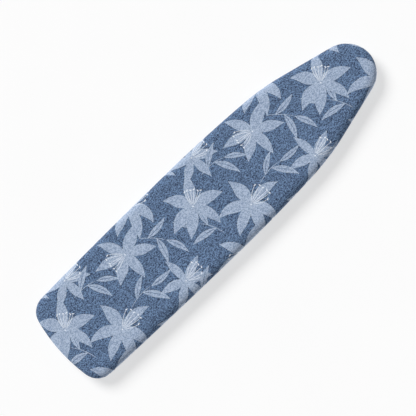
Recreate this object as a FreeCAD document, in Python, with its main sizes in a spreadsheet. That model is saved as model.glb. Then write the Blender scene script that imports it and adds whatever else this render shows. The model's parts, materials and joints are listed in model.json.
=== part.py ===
import FreeCAD, Part
import math
import os
import re
import Sketcher
from FreeCAD import Placement, Rotation, Vector

# A full-size ironing board, lying folded on the floor with its legs underneath.
# Millimetres. +X points to the nose, +Y to the left side, +Z up.
# The origin is at the middle of the footprint, on the floor that the foot caps lie on.

SIZES = {
    # outline of the covered top, seen from above
    "board_length": 1372,
    "board_width": 356,
    "nose_radius": 100,
    "flank_angle": 14.8,
    "shoulder_radius": 807,
    "belly_radius": 5106,
    "widest_x": -47,
    "taper_radius": 20000,
    "tail_corner_radius": 62,
    "tail_radius": 625,
    # heights above the floor
    "leg_z": 15,
    "rod_z": 33,
    "rim_z": 42,
    "bar_bottom_z": 43,
    "mesh_bottom_z": 49,
    "pad_bottom_z": 50,
    "cover_bottom_z": 33.6,
    "cover_top_z": 59.2,
    "hem_z": 34.4,
    # cover, pad, mesh and rim
    "cover_thickness": 1.2,
    "cover_top_round": 8,
    "cover_bottom_round": 6,
    "hem_width": 36,
    "elastic_radius": 2,
    "elastic_inset": 38.4,
    "pad_thickness": 7.9,
    "pad_inset": 1.35,
    "pad_round": 6.8,
    "mesh_thickness": 1,
    "mesh_inset": 4,
    "mesh_margin": 12,
    "rim_radius": 7,
    "rim_bore_radius": 5.8,
    "rim_inset": 8.4,
    "diamond_length": 40,
    "diamond_width": 17,
    "diamond_pitch_x": 48,
    "diamond_pitch_y": 22,
    # cross bars, brackets and rivets
    "bar_width": 34,
    "bar_wall": 1.5,
    "flange_thickness": 3,
    "bracket_radius": 12,
    "bracket_foot": 22,
    "cheek_thickness": 3,
    "cheek_gap": 1.5,
    "guide_margin": 8,
    "guide_clearance": 1.2,
    "guide_flange_rear": 16,
    "guide_flange_front": 18,
    "rivet_radius": 2.5,
    "rivet_head_radius": 4.5,
    "rivet_head": 2,
    "hinge_rivet_offset": 7,
    "guide_rivet_y": 7.5,
    "guide_rivet_rear": 10,
    "guide_rivet_front": 11,
    "clip_thickness": 1.5,
    "clip_gap": 0.6,
    "clip_y": 26,
    "clip_width": 16,
    "clip_lip": 1,
    "clip_rivet_back": 5,
    # places along the board
    "tail_bar_x": -610,
    "hinge_x": -480,
    "rear_bar_x": -243,
    "rod_rear_x": -6,
    "front_bar_x": 240,
    "rod_front_x": 487,
    "nose_bar_x": 500,
    # legs
    "upper_arm": 450,
    "leg_length": 1004,
    "tube_radius": 11,
    "tube_wall": 1.2,
    "outer_tube_y": 52,
    "inner_tube_y": 20,
    "outer_stub": 12,
    "inner_stub": 11,
    "tie_rear": 157.5,
    "tie_front": 652.5,
    "tie_half_length": 15,
    "tie_half_height": 5,
    "foot_bar_wall": 1.5,
    "outer_foot_half": 97,
    "inner_foot_half": 140,
    "cap_radius": 15.4,
    "cap_cover": 25,
    "cap_end": 5,
    "plug_depth": 5,
    "plug_rim": 2,
    "open_angle": 55,
    # pins and fits
    "hinge_pin_radius": 5,
    "pivot_radius": 4,
    "pivot_washer_radius": 8,
    "pivot_hex_radius": 7.5,
    "bolt_head": 5,
    "bolt_tail": 7.5,
    "nut_height": 6.5,
    "washer_gap": 0.3,
    "running_gap": 0.06,
    "pin_head": 2.5,
    "pin_head_radius": 8,
    # carriage on its guide rod, and the release lever
    "rod_radius": 5,
    "rod_end": 4,
    "block_back": 22,
    "block_front": 24,
    "block_half": 8.5,
    "block_bottom_z": 7,
    "block_top_z": 42,
    "fork_start": 19,
    "fork_root": 26,
    "fork_end": 44,
    "fork_half": 17,
    "fork_arm": 4.6,
    "fork_bottom_z": 12,
    "fork_top_z": 25,
    "lever_pivot_x": 36,
    "lever_pivot_z": 20,
    "lever_pin_radius": 2.5,
    "lever_tilt": 6,
    "jam_thickness": 3,
    "jam_half": 12,
    "jam_eye_radius": 5,
    "slot_half_width": 5.6,
    "slot_half_height": 6.2,
    "wire_radius": 2.5,
    "wire_root": 1,
    "wire_rise": 10,
    "wire_reach": 72,
    "wire_bend": 10,
    "wire_forward": 40,
    "grip_radius": 5.5,
    "grip_length": 30,
    "grip_end": 3,
    "spring_radius": 7,
    "spring_wire": 0.6,
    "spring_pitch": 2.6,
    "spring_seat": 0.78,
    "spring_turns": 3,
    # how far cutting tools reach beyond what they cut, and how long drills are
    "overshoot": 1,
    "drill_length": 40,
}

DOC = FreeCAD.newDocument("ironing_board")
SHEET = DOC.addObject("Spreadsheet::Sheet", "Sizes")
UP = Vector(0, 0, 1)
ALONG_X = Vector(1, 0, 0)
ALONG_Y = Vector(0, 1, 0)
NODES = []
NEAR = 0.01


def fill_sheet():
    for row, (word, value) in enumerate(SIZES.items(), start=1):
        SHEET.set("A%d" % row, word)
        SHEET.set("B%d" % row, str(value))
        SHEET.setAlias("B%d" % row, word)
    DOC.recompute()


def size(word):
    """The sheet's value of one size, as a plain number."""
    return float(getattr(SHEET, word))


def in_sheet_terms(text):
    """The same formula, with each size's name pointing at its cell."""
    return re.sub(r"[a-z_]{3,}", lambda word: "Sizes." + word.group(0) if word.group(0) in SIZES
                  else word.group(0), str(text))


def bind(thing, prop, text):
    thing.setExpression(prop, in_sheet_terms(text))


def place(thing, x, y, z, turn=None):
    """Put an object at formulas for x, y and z, turned by a fixed rotation."""
    if turn is not None:
        thing.Placement = Placement(Vector(), turn)
    for axis, text in (("x", x), ("y", y), ("z", z)):
        bind(thing, "Placement.Base." + axis, text)
    return thing


def node(thing, name):
    """Name a finished piece and queue it for writing."""
    thing.Label = name
    NODES.append(thing)
    return thing


# ---- simple solids and booleans -------------------------------------------------------

def box(name, x_span, y_span, z_span):
    solid = DOC.addObject("Part::Box", name)
    for prop, (low, high) in (("Length", x_span), ("Width", y_span), ("Height", z_span)):
        bind(solid, prop, "(%s) - (%s)" % (high, low))
    return place(solid, x_span[0], y_span[0], z_span[0])


def rod(name, radius, start, length, direction):
    """A solid cylinder that starts at start and runs along direction."""
    solid = DOC.addObject("Part::Cylinder", name)
    bind(solid, "Radius", radius)
    bind(solid, "Height", length)
    return place(solid, *start, turn=Rotation(UP, direction))


def cross_rod(name, radius, x, z, half):
    """A cylinder across the board, centred on its middle plane."""
    return rod(name, radius, (x, "-(%s)" % half, z), "2 * (%s)" % half, ALONG_Y)


def fuse(name, *solids):
    joined = DOC.addObject("Part::MultiFuse", name)
    joined.Shapes = list(solids)
    joined.Refine = True
    return joined


def cut(name, base, *tools):
    """base with every tool taken away."""
    for index, tool in enumerate(tools):
        trimmed = DOC.addObject("Part::Cut", "%s_%d" % (name, index))
        trimmed.Base = base
        trimmed.Tool = tool
        base = trimmed
    return base


def group(name, *solids):
    """Separate solids that share one node."""
    bundle = DOC.addObject("Part::Compound", name)
    bundle.Links = list(solids)
    return node(bundle, name)


def sides():
    """The left and right side, each with its sign."""
    return (("left", 1), ("right", -1))


# ---- outline of the top ---------------------------------------------------------------

def polar(centre, radius, angle):
    return centre + Vector(radius * math.cos(angle), radius * math.sin(angle), 0)


def circles_meet(centre_a, radius_a, centre_b, radius_b):
    """The meeting point of two circles that has the larger y and the smaller x."""
    gap = centre_b - centre_a
    along = (gap.Length ** 2 + radius_a ** 2 - radius_b ** 2) / (2 * gap.Length)
    across = math.sqrt(radius_a ** 2 - along ** 2)
    unit = gap * (1 / gap.Length)
    foot = centre_a + unit * along
    normal = Vector(-unit.y, unit.x, 0)
    return max((foot + normal * across, foot - normal * across), key=lambda point: point.y - point.x)


def outline_arcs():
    """Name, centre, radius, start and end angle of each arc of the left half.

    The arcs run from the nose tip to the middle of the tail. A straight flank
    joins the nose arc to the shoulder arc.
    """
    half_length = size("board_length") / 2
    half_width = size("board_width") / 2
    nose_end = math.radians(90 - size("flank_angle"))
    nose = Vector(half_length - size("nose_radius"), 0, 0)
    belly = Vector(size("widest_x"), half_width - size("belly_radius"), 0)
    taper = Vector(size("widest_x"), half_width - size("taper_radius"), 0)
    tail = Vector(size("tail_radius") - half_length, 0, 0)
    outward = Vector(math.cos(nose_end), math.sin(nose_end), 0)
    reach = nose.dot(outward) + size("nose_radius") - size("shoulder_radius") - belly.dot(outward)
    shoulder_gap = size("belly_radius") - size("shoulder_radius")
    shoulder_end = nose_end + math.acos(reach / shoulder_gap)
    shoulder = polar(belly, shoulder_gap, shoulder_end)
    round_off = size("tail_corner_radius")
    corner = circles_meet(taper, size("taper_radius") - round_off, tail, size("tail_radius") - round_off)
    corner_start = math.atan2(corner.y - taper.y, corner.x - taper.x)
    corner_end = math.atan2(corner.y, corner.x - tail.x)
    return [
        ("nose_radius", nose, size("nose_radius"), 0, nose_end),
        ("shoulder_radius", shoulder, size("shoulder_radius"), nose_end, shoulder_end),
        ("belly_radius", belly, size("belly_radius"), shoulder_end, math.pi / 2),
        ("taper_radius", taper, size("taper_radius"), math.pi / 2, corner_start),
        ("tail_corner_radius", corner, round_off, corner_start, corner_end),
        ("tail_radius", tail, size("tail_radius"), corner_end, math.pi),
    ]


def outline_pieces(inset):
    """The closed outline, anticlockwise from the nose tip, moved inwards by inset."""
    left = outline_arcs()
    right = [(name, Vector(centre.x, -centre.y, 0), radius, -end, -start)
             for name, centre, radius, start, end in reversed(left)]
    pieces = []
    for name, centre, radius, start, end in left + right:
        start_point = polar(centre, radius - inset, start)
        if pieces and (pieces[-1][2] - start_point).Length > 1:
            pieces.append(("flank", pieces[-1][2], start_point, None))
        circle = Part.Circle(centre, UP, radius - inset)
        end_point = polar(centre, radius - inset, end)
        pieces.append((name, start_point, end_point, Part.ArcOfCircle(circle, start, end)))
    return pieces


def outline_wire(inset, height):
    edges = []
    for _, start, end, arc in outline_pieces(inset):
        curve = arc if arc is not None else Part.LineSegment(start, end)
        edges.append(curve.toShape())
    wire = Part.Wire(edges)
    wire.translate(Vector(0, 0, height))
    return wire


def half_width_at(x, inset):
    """Half the width of the inset outline at one place along the board."""
    ray = Part.LineSegment(Vector(x, 0, 0), Vector(x, size("board_width"), 0)).toShape()
    return outline_wire(inset, 0).distToShape(ray)[1][0][0].y


def plane_of(body, role):
    return next(feature for feature in body.Origin.OriginFeatures if feature.Role == role)


def new_sketch(body, name, role, offset):
    """A sketch on one of the body's own origin planes, lifted off it by a formula."""
    sketch = body.newObject("Sketcher::SketchObject", name)
    sketch.AttachmentSupport = (plane_of(body, role), [""])
    sketch.MapMode = "FlatFace"
    bind(sketch, "AttachmentOffset.Base.z", offset)
    return sketch


def constrain(sketch, label, kind, target, value, formula):
    """Add one constraint and drive it by a formula."""
    index = sketch.addConstraint(Sketcher.Constraint(kind, *target, value))
    sketch.renameConstraint(index, label)
    bind(sketch, "Constraints." + label, formula)


def outline_sketch(body, name, inset, height):
    """The whole outline as one closed sketch of tangent arcs and two straight flanks."""
    sketch = new_sketch(body, name, "XY_Plane", height)
    pieces = outline_pieces(size(inset) if inset in SIZES else float(inset))
    names = [piece[0] for piece in pieces]
    last = len(pieces) - 1
    tail_left = names.index("tail_radius")
    tail_right = tail_left + 1
    for _, start, end, arc in pieces:
        sketch.addGeometry(arc if arc is not None else Part.LineSegment(start, end))
    for index in range(last + 1):
        following = (index + 1) % (last + 1)
        kind = "Coincident" if index in (last, tail_left) else "Tangent"
        sketch.addConstraint(Sketcher.Constraint(kind, index, 2, following, 1))
    for point in ((0, 1), (0, 3), (last, 3), (tail_left, 2), (tail_left, 3), (tail_right, 3)):
        sketch.addConstraint(Sketcher.Constraint("PointOnObject", *point, -1))
    for index, word in enumerate(names):
        label = "%s_%d" % (word, index)
        if word == "flank":
            upper = pieces[index][1].y > 0
            formula = "(180 - flank_angle) * 1 deg" if upper else "flank_angle * 1 deg"
            angle = 180 - size("flank_angle") if upper else size("flank_angle")
            constrain(sketch, label, "Angle", (index,), math.radians(angle), formula)
        else:
            radius = pieces[index][3].Radius
            constrain(sketch, label, "Radius", (index,), radius, "%s - (%s)" % (word, inset))
    nose_reach = size("board_length") / 2 - size("nose_radius")
    tail_reach = size("board_length") / 2 - size("tail_radius")
    constrain(sketch, "nose", "DistanceX", (-1, 1, 0, 3), nose_reach, "board_length / 2 - nose_radius")
    constrain(sketch, "tail", "DistanceX", (tail_left, 3, -1, 1), tail_reach,
              "board_length / 2 - tail_radius")
    belly_left = names.index("belly_radius")
    belly_right = last - belly_left
    depth = size("belly_radius") - size("board_width") / 2
    for index, widest, pair in ((belly_left, 2, (belly_left, 3, -1, 1)),
                                (belly_right, 1, (-1, 1, belly_right, 3))):
        constrain(sketch, "belly_y_%d" % index, "DistanceY", pair, depth, "belly_radius - board_width / 2")
        constrain(sketch, "belly_x_%d" % index, "DistanceX", (index, 3, -1, 1), -size("widest_x"),
                  "-widest_x")
        sketch.addConstraint(Sketcher.Constraint("Vertical", index, 3, index, widest))
    return sketch


def round_off(body, base, name, radius, height):
    """Round the edges of a body's last feature that lie at one height."""
    DOC.recompute()
    edges = ["Edge%d" % number for number, edge in enumerate(base.Shape.Edges, start=1)
             if all(abs(vertex.Z - height) < NEAR for vertex in edge.Vertexes)]
    fillet = body.newObject("PartDesign::Fillet", name)
    fillet.Base = (base, edges)
    bind(fillet, "Radius", radius)
    return fillet


def slab(name, inset, bottom, thickness):
    """A flat plate with the board's outline, moved inwards by inset."""
    body = DOC.addObject("PartDesign::Body", name)
    sketch = outline_sketch(body, name + "_outline", inset, bottom)
    pad = body.newObject("PartDesign::Pad", name + "_pad")
    pad.Profile = sketch
    bind(pad, "Length", thickness)
    return body, pad


def ring(name, inset, height, radius):
    """A round cord that follows the outline."""
    body = DOC.addObject("PartDesign::Body", name)
    path = outline_sketch(body, name + "_path", inset, height)
    section = new_sketch(body, name + "_section", "XZ_Plane", "0")
    centre = Vector(size("board_length") / 2 - size(inset), size(height), 0)
    section.addGeometry(Part.Circle(centre, UP, size(radius)))
    constrain(section, "reach", "DistanceX", (-1, 1, 0, 3), centre.x, "board_length / 2 - %s" % inset)
    constrain(section, "rise", "DistanceY", (-1, 1, 0, 3), centre.y, height)
    constrain(section, "radius", "Radius", (0,), size(radius), radius)
    pipe = body.newObject("PartDesign::AdditivePipe", name + "_pipe")
    pipe.Profile = section
    pipe.Spine = (path, [])
    return body


# ---- places that several pieces share -------------------------------------------------

HINGE = "hinge_x"
CENTRE = "(hinge_x + upper_arm)"
SLIDER = "(hinge_x + 2 * upper_arm)"
OUTER_FOOT = "(hinge_x + leg_length)"
INNER_FOOT = "(hinge_x + 2 * upper_arm - leg_length)"


# ---- cover, pad, mesh deck and rim ----------------------------------------------------

def make_cover():
    """Fabric skin over the top and round the rim, open underneath inside its hem."""
    outer, outer_pad = slab("cover_outside", "0", "cover_bottom_z", "cover_top_z - cover_bottom_z")
    top = round_off(outer, outer_pad, "cover_outside_top", "cover_top_round", size("cover_top_z"))
    round_off(outer, top, "cover_outside_bottom", "cover_bottom_round", size("cover_bottom_z"))
    inner, inner_pad = slab("cover_inside", "cover_thickness", "cover_bottom_z + cover_thickness",
                            "cover_top_z - cover_bottom_z - 2 * cover_thickness")
    inside_top = size("cover_top_z") - size("cover_thickness")
    inside_bottom = size("cover_bottom_z") + size("cover_thickness")
    top = round_off(inner, inner_pad, "cover_inside_top", "cover_top_round - cover_thickness", inside_top)
    round_off(inner, top, "cover_inside_bottom", "cover_bottom_round - cover_thickness", inside_bottom)
    mouth, _ = slab("cover_mouth", "hem_width", "cover_bottom_z - overshoot",
                    "cover_thickness + 2 * overshoot")
    node(cut("cover_shell", outer, inner, mouth), "cover")


def make_pad():
    body, pad = slab("pad_slab", "pad_inset", "pad_bottom_z", "pad_thickness")
    round_off(body, pad, "pad_round_edge", "pad_round", size("pad_bottom_z") + size("pad_thickness"))
    node(body, "pad")


def diamond(x, y, height):
    """One opening of the mesh."""
    long_half = size("diamond_length") / 2
    wide_half = size("diamond_width") / 2
    corners = [Vector(x + long_half, y, height), Vector(x, y + wide_half, height),
               Vector(x - long_half, y, height), Vector(x, y - wide_half, height)]
    return Part.makePolygon(corners + corners[:1])


def make_mesh():
    """Expanded steel sheet: staggered rows of diamonds inside a plain border."""
    bottom = size("mesh_bottom_z")
    border = outline_wire(size("mesh_inset"), bottom)
    room = Part.Face(outline_wire(size("mesh_inset") + size("mesh_margin"), bottom))
    step_x = size("diamond_pitch_x") / 2
    step_y = size("diamond_pitch_y") / 2
    columns = int(size("board_length") / 2 / step_x)
    rows = int(size("board_width") / 2 / step_y)
    holes = []
    for column in range(-columns, columns + 1):
        for row in range(-rows, rows + 1):
            opening = diamond(column * step_x, row * step_y, bottom)
            inside = all(room.isInside(corner.Point, NEAR, True) for corner in opening.Vertexes)
            if (column + row) % 2 == 0 and inside:
                holes.append(opening)
    face = Part.makeFace([border] + holes, "Part::FaceMakerBullseye")
    mesh = DOC.addObject("Part::Feature", "expanded_sheet")
    mesh.Shape = face.extrude(Vector(0, 0, size("mesh_thickness")))
    node(mesh, "deck_mesh")


def make_cross_bar(name, place_word, filled_rim):
    """A channel under the mesh, open downwards, its ends shaped to the rim tube."""
    x_edge = size(place_word) + math.copysign(size("bar_width") / 2, size(place_word))
    half = half_width_at(x_edge, size("rim_inset")) - size("overshoot")
    low, high = "%s - bar_width / 2" % place_word, "%s + bar_width / 2" % place_word
    outside = box(name + "_outside", (low, high), (-half, half), ("bar_bottom_z", "mesh_bottom_z"))
    inside = box(name + "_inside", ("%s + bar_wall" % low, "%s - bar_wall" % high), (-half, half),
                 ("bar_bottom_z - overshoot", "mesh_bottom_z - bar_wall"))
    node(cut(name + "_channel", outside, inside, filled_rim), name)


def make_deck():
    make_mesh()
    filled_rim = ring("filled_rim", "rim_inset", "rim_z", "rim_radius")
    rim_bore = ring("rim_bore", "rim_inset", "rim_z", "rim_bore_radius")
    node(cut("rim_tube", filled_rim, rim_bore), "deck_frame")
    for name, place_word in (("tail", "tail_bar_x"), ("hinge", "hinge_x"), ("rear", "rear_bar_x"),
                             ("guide", "rod_rear_x"), ("front", "front_bar_x"), ("nose", "nose_bar_x")):
        make_cross_bar("cross_bar_" + name, place_word, filled_rim)


# ---- brackets, rivets, clip and guide rod ---------------------------------------------

def rivet(name, x, y, under):
    """A rivet up into a cross bar, its head below the surface named by under."""
    shank = rod(name + "_shank", "rivet_radius", (x, y, under),
                "mesh_bottom_z - bar_wall - (%s)" % under, UP)
    head = rod(name + "_head", "rivet_head_radius", (x, y, "%s - rivet_head" % under), "rivet_head", UP)
    return fuse(name, shank, head)


def make_hinge_bracket(side, sign, rivets):
    """A clevis that holds one top end of the outer leg."""
    y = "%d * outer_tube_y" % sign
    inner_half = "(tube_radius + cheek_gap)"
    outer_half = "(tube_radius + cheek_gap + cheek_thickness)"
    y_out = ("%s - %s" % (y, outer_half), "%s + %s" % (y, outer_half))
    y_in = ("%s - %s" % (y, inner_half), "%s + %s" % (y, inner_half))
    name = "hinge_bracket_" + side
    foot = box(name + "_foot", (HINGE + " - bracket_foot", HINGE + " + bracket_foot"), y_out,
               ("bar_bottom_z - 2 * flange_thickness", "bar_bottom_z"))
    drop = box(name + "_drop", (HINGE + " - bracket_radius", HINGE + " + bracket_radius"), y_out,
               ("leg_z", "bar_bottom_z"))
    nose = rod(name + "_nose", "bracket_radius", (HINGE, y_out[0], "leg_z"), "2 * " + outer_half, ALONG_Y)
    gap = box(name + "_gap", (HINGE + " - 2 * bracket_foot", HINGE + " + 2 * bracket_foot"), y_in,
              ("0 - bracket_foot", "bar_bottom_z - flange_thickness"))
    hole = rod(name + "_hole", "hinge_pin_radius", (HINGE, y_out[0], "leg_z"), "2 * " + outer_half, ALONG_Y)
    node(cut(name + "_clevis", fuse(name + "_solid", foot, drop, nose), gap, hole, *rivets), name)


def make_hinge_pin(side, sign):
    """The riveted pin of one clevis, with a head on each side."""
    y = "%d * outer_tube_y" % sign
    half = "(tube_radius + cheek_gap + cheek_thickness)"
    name = "hinge_pin_" + side
    shank = rod(name + "_shank", "hinge_pin_radius", (HINGE, "%s - %s" % (y, half), "leg_z"),
                "2 * " + half, ALONG_Y)
    heads = [rod("%s_head_%d" % (name, number), "pin_head_radius",
                 (HINGE, "%s + (%s)" % (y, start), "leg_z"), "pin_head", ALONG_Y)
             for number, start in enumerate((half, "0 - %s - pin_head" % half))]
    node(fuse(name + "_solid", shank, *heads), name)


def make_guide_bracket(name, x_face, direction, rivets):
    """An angle that holds one end of the guide rod; its flange points away from the carriage."""
    y = ("0 - (rod_radius + guide_margin)", "rod_radius + guide_margin")
    plate_x = ("%s - flange_thickness / 2" % x_face, "%s + flange_thickness / 2" % x_face)
    if direction < 0:
        flange_x = ("%s - guide_flange_rear" % x_face, x_face)
    else:
        flange_x = (x_face, "%s + guide_flange_front" % x_face)
    plate = box(name + "_plate", plate_x, y, ("leg_z + tube_radius + guide_clearance", "bar_bottom_z"))
    flange = box(name + "_flange", flange_x, y, ("bar_bottom_z - flange_thickness", "bar_bottom_z"))
    hole = rod(name + "_hole", "rod_radius", ("%s - drill_length / 2" % x_face, "0", "rod_z"),
               "drill_length", ALONG_X)
    node(cut(name + "_angle", fuse(name + "_solid", plate, flange), hole, *rivets), name)


def make_leg_clip(rivets):
    """A spring-steel clip, open downwards, that the front foot bar lies in when folded."""
    reach = "(tube_radius + clip_gap + clip_thickness)"
    y = ("clip_y - clip_width / 2", "clip_y + clip_width / 2")
    outside = box("clip_outside", (OUTER_FOOT + " - " + reach, OUTER_FOOT + " + " + reach), y,
                  ("leg_z + clip_lip", "bar_bottom_z"))
    tongue = box("clip_tongue", ("nose_bar_x - bar_width / 2", OUTER_FOOT), y,
                 ("bar_bottom_z - clip_thickness", "bar_bottom_z"))
    inside = box("clip_inside", (OUTER_FOOT + " - (tube_radius + clip_gap)",
                                 OUTER_FOOT + " + (tube_radius + clip_gap)"),
                 y, ("0", "bar_bottom_z - clip_thickness"))
    node(cut("clip_spring", fuse("clip_solid", outside, tongue), inside, *rivets), "leg_clip")


def make_underside():
    flange_bottom = "(bar_bottom_z - flange_thickness)"
    clip_bottom = "(bar_bottom_z - clip_thickness)"
    hinge_rivets = {side: [rivet("rivet_%s_%d" % (side, number), HINGE,
                                 "%d * (outer_tube_y %s hinge_rivet_offset)" % (sign, way), flange_bottom)
                           for number, way in enumerate("-+")]
                    for side, sign in sides()}
    rear_rivets = [rivet("rivet_rear_" + side, "rod_rear_x - guide_rivet_rear",
                         "%d * guide_rivet_y" % sign, flange_bottom)
                   for side, sign in sides()]
    front_rivets = [rivet("rivet_front_" + side, "rod_front_x + guide_rivet_front",
                          "%d * guide_rivet_y" % sign, flange_bottom)
                    for side, sign in sides()]
    clip_rivet = rivet("rivet_clip", "nose_bar_x - clip_rivet_back", "clip_y", clip_bottom)
    for side, sign in sides():
        make_hinge_bracket(side, sign, hinge_rivets[side])
        make_hinge_pin(side, sign)
    make_guide_bracket("guide_bracket_rear", "rod_rear_x", -1, rear_rivets)
    make_guide_bracket("guide_bracket_front", "rod_front_x", 1, front_rivets)
    make_leg_clip([clip_rivet])
    group("bracket_rivets", *hinge_rivets["left"], *hinge_rivets["right"], *rear_rivets, *front_rivets,
          clip_rivet)
    node(rod("guide_rod_bar", "rod_radius", ("rod_rear_x - rod_end", "0", "rod_z"),
             "rod_front_x - rod_rear_x + 2 * rod_end", ALONG_X), "guide_rod")


# ---- legs -----------------------------------------------------------------------------

def leg_tube(name, y, top_x, foot_x, direction, holes):
    """One long leg tube from its top end to the foot bar, shaped to fit the bar."""
    start, length = top_x, "abs(%s - (%s))" % (foot_x, top_x)
    solid = rod(name + "_outside", "tube_radius", (start, y, "leg_z"), length, direction)
    bore = rod(name + "_bore", "tube_radius - tube_wall", (start, y, "leg_z"), length, direction)
    side_y = "%s - drill_length / 2" % y
    saddle = rod(name + "_saddle", "tube_radius", (foot_x, side_y, "leg_z"), "drill_length", ALONG_Y)
    drills = [rod("%s_drill_%d" % (name, number), radius, (x, side_y, "leg_z"), "drill_length", ALONG_Y)
              for number, (x, radius) in enumerate(holes)]
    node(cut(name + "_tube", solid, bore, saddle, *drills), name)


def ground_plane(name, foot_x, turn):
    """A block whose upper face is the ground a foot lies on, turned about the foot bar."""
    flat = DOC.addObject("Part::Box", name)
    bind(flat, "Length", "2 * cap_radius")
    bind(flat, "Width", "4 * inner_foot_half")
    bind(flat, "Height", "cap_radius")
    spin = Rotation(ALONG_Y, turn)
    corner = spin.multVec(Vector(-size("cap_radius"), -2 * size("inner_foot_half"),
                                 -size("leg_z") - size("cap_radius")))
    return place(flat, "%s + (%r)" % (foot_x, corner.x), "%r" % corner.y, "leg_z + (%r)" % corner.z,
                 turn=spin)


def make_foot(name, foot_x, half, standing_turn):
    """A foot bar and its two end caps; each cap has a flat to lie on and one to stand on."""
    bar = cross_rod(name + "_foot_outside", "tube_radius", foot_x, "leg_z", half)
    bore = cross_rod(name + "_foot_bore", "tube_radius - foot_bar_wall", foot_x, "leg_z", half)
    node(cut(name + "_foot_tube", bar, bore), name + "_foot_bar")
    caps = []
    for side, sign in sides():
        label = "%s_cap_%s" % (name, side)
        low = "%s - cap_cover" % half if sign > 0 else "0 - (%s + cap_end)" % half
        solid = rod(label + "_outside", "cap_radius", (foot_x, low, "leg_z"), "cap_cover + cap_end", ALONG_Y)
        socket = cross_rod(label + "_socket", "tube_radius", foot_x, "leg_z", half)
        flats = []
        for number, turn in enumerate((0, standing_turn)):
            flats.append(ground_plane("%s_flat_%d" % (label, number), foot_x, turn))
        caps.append(cut(label, solid, socket, *flats))
    group(name + "_foot_caps", *caps)


def make_plugs(name, y_word, end_x, direction):
    """Plastic plugs in the top ends of a leg's two tubes."""
    plugs = []
    for side, sign in sides():
        y = "%d * %s" % (sign, y_word)
        shank = rod("%s_plug_%s_shank" % (name, side), "tube_radius - tube_wall", (end_x, y, "leg_z"),
                    "plug_depth", direction)
        rim = rod("%s_plug_%s_rim" % (name, side), "tube_radius", (end_x, y, "leg_z"), "plug_rim",
                  direction * -1)
        plugs.append(fuse("%s_plug_%s" % (name, side), shank, rim))
    group(name + "_tube_plugs", *plugs)


def hexagon(name, y, length):
    """The bolt's head or its nut, in line with the middle pivot."""
    prism = DOC.addObject("Part::Prism", name)
    prism.Polygon = 6
    bind(prism, "Circumradius", "pivot_hex_radius")
    bind(prism, "Height", length)
    return place(prism, CENTRE, y, "leg_z", turn=Rotation(UP, ALONG_Y))


def make_outer_leg():
    top = HINGE + " - outer_stub"
    for side, sign in sides():
        leg_tube("outer_tube_" + side, "%d * outer_tube_y" % sign, top, OUTER_FOOT,
                 ALONG_X, ((HINGE, "hinge_pin_radius + running_gap"), (CENTRE, "pivot_radius")))
    make_foot("outer", OUTER_FOOT, "outer_foot_half", -size("open_angle"))
    make_plugs("outer", "outer_tube_y", top, ALONG_X)
    face = "(outer_tube_y + tube_radius)"
    shank = rod("pivot_shank", "pivot_radius", (CENTRE, "0 - %s - bolt_tail" % face, "leg_z"),
                "2 * %s + bolt_tail" % face, ALONG_Y)
    node(fuse("pivot_bolt_solid", shank, hexagon("pivot_head", face, "bolt_head")), "pivot_bolt")
    nut = hexagon("pivot_nut_outside", "0 - %s - nut_height" % face, "nut_height")
    nut_hole = cross_rod("pivot_nut_hole", "pivot_radius", CENTRE, "leg_z", "2 * outer_tube_y")
    node(cut("pivot_nut_ring", nut, nut_hole), "pivot_nut")
    washers = []
    for side, sign in sides():
        low = "inner_tube_y + tube_radius + washer_gap"
        length = "(outer_tube_y - inner_tube_y - 2 * tube_radius - washer_gap)"
        start = low if sign > 0 else "0 - (%s + %s)" % (low, length)
        solid = rod("pivot_washer_%s_outside" % side, "pivot_washer_radius", (CENTRE, start, "leg_z"),
                    length, ALONG_Y)
        hole = cross_rod("pivot_washer_%s_hole" % side, "pivot_radius", CENTRE, "leg_z", "outer_tube_y")
        washers.append(cut("pivot_washer_" + side, solid, hole))
    group("pivot_washers", *washers)


def make_inner_leg():
    top = SLIDER + " + inner_stub"
    for side, sign in sides():
        leg_tube("inner_tube_" + side, "%d * inner_tube_y" % sign, top, INNER_FOOT,
                 ALONG_X * -1, ((SLIDER, "pivot_radius + running_gap"),
                                (CENTRE, "pivot_radius + running_gap")))
    make_foot("inner", INNER_FOOT, "inner_foot_half", size("open_angle"))
    make_plugs("inner", "inner_tube_y", top, ALONG_X * -1)
    gap_half = "(inner_tube_y - tube_radius)"
    bush = cross_rod("pivot_bush_outside", "pivot_washer_radius", CENTRE, "leg_z", gap_half)
    bush_hole = cross_rod("pivot_bush_hole", "pivot_radius + running_gap", CENTRE, "leg_z", "inner_tube_y")
    node(cut("pivot_bush_ring", bush, bush_hole), "pivot_bush")
    ties = []
    for number, x in enumerate((HINGE + " + tie_rear", HINGE + " + tie_front")):
        tie = box("inner_tie_%d_outside" % number, (x + " - tie_half_length", x + " + tie_half_length"),
                  ("0 - inner_tube_y", "inner_tube_y"),
                  ("leg_z - tie_half_height", "leg_z + tie_half_height"))
        tubes = [rod("inner_tie_%d_%s" % (number, side), "tube_radius",
                     (x + " - drill_length / 2", "%d * inner_tube_y" % sign, "leg_z"),
                     "drill_length", ALONG_X)
                 for side, sign in sides()]
        ties.append(cut("inner_tie_%d" % number, tie, *tubes))
    group("inner_leg_ties", *ties)


# ---- carriage and release lever -------------------------------------------------------

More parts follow.
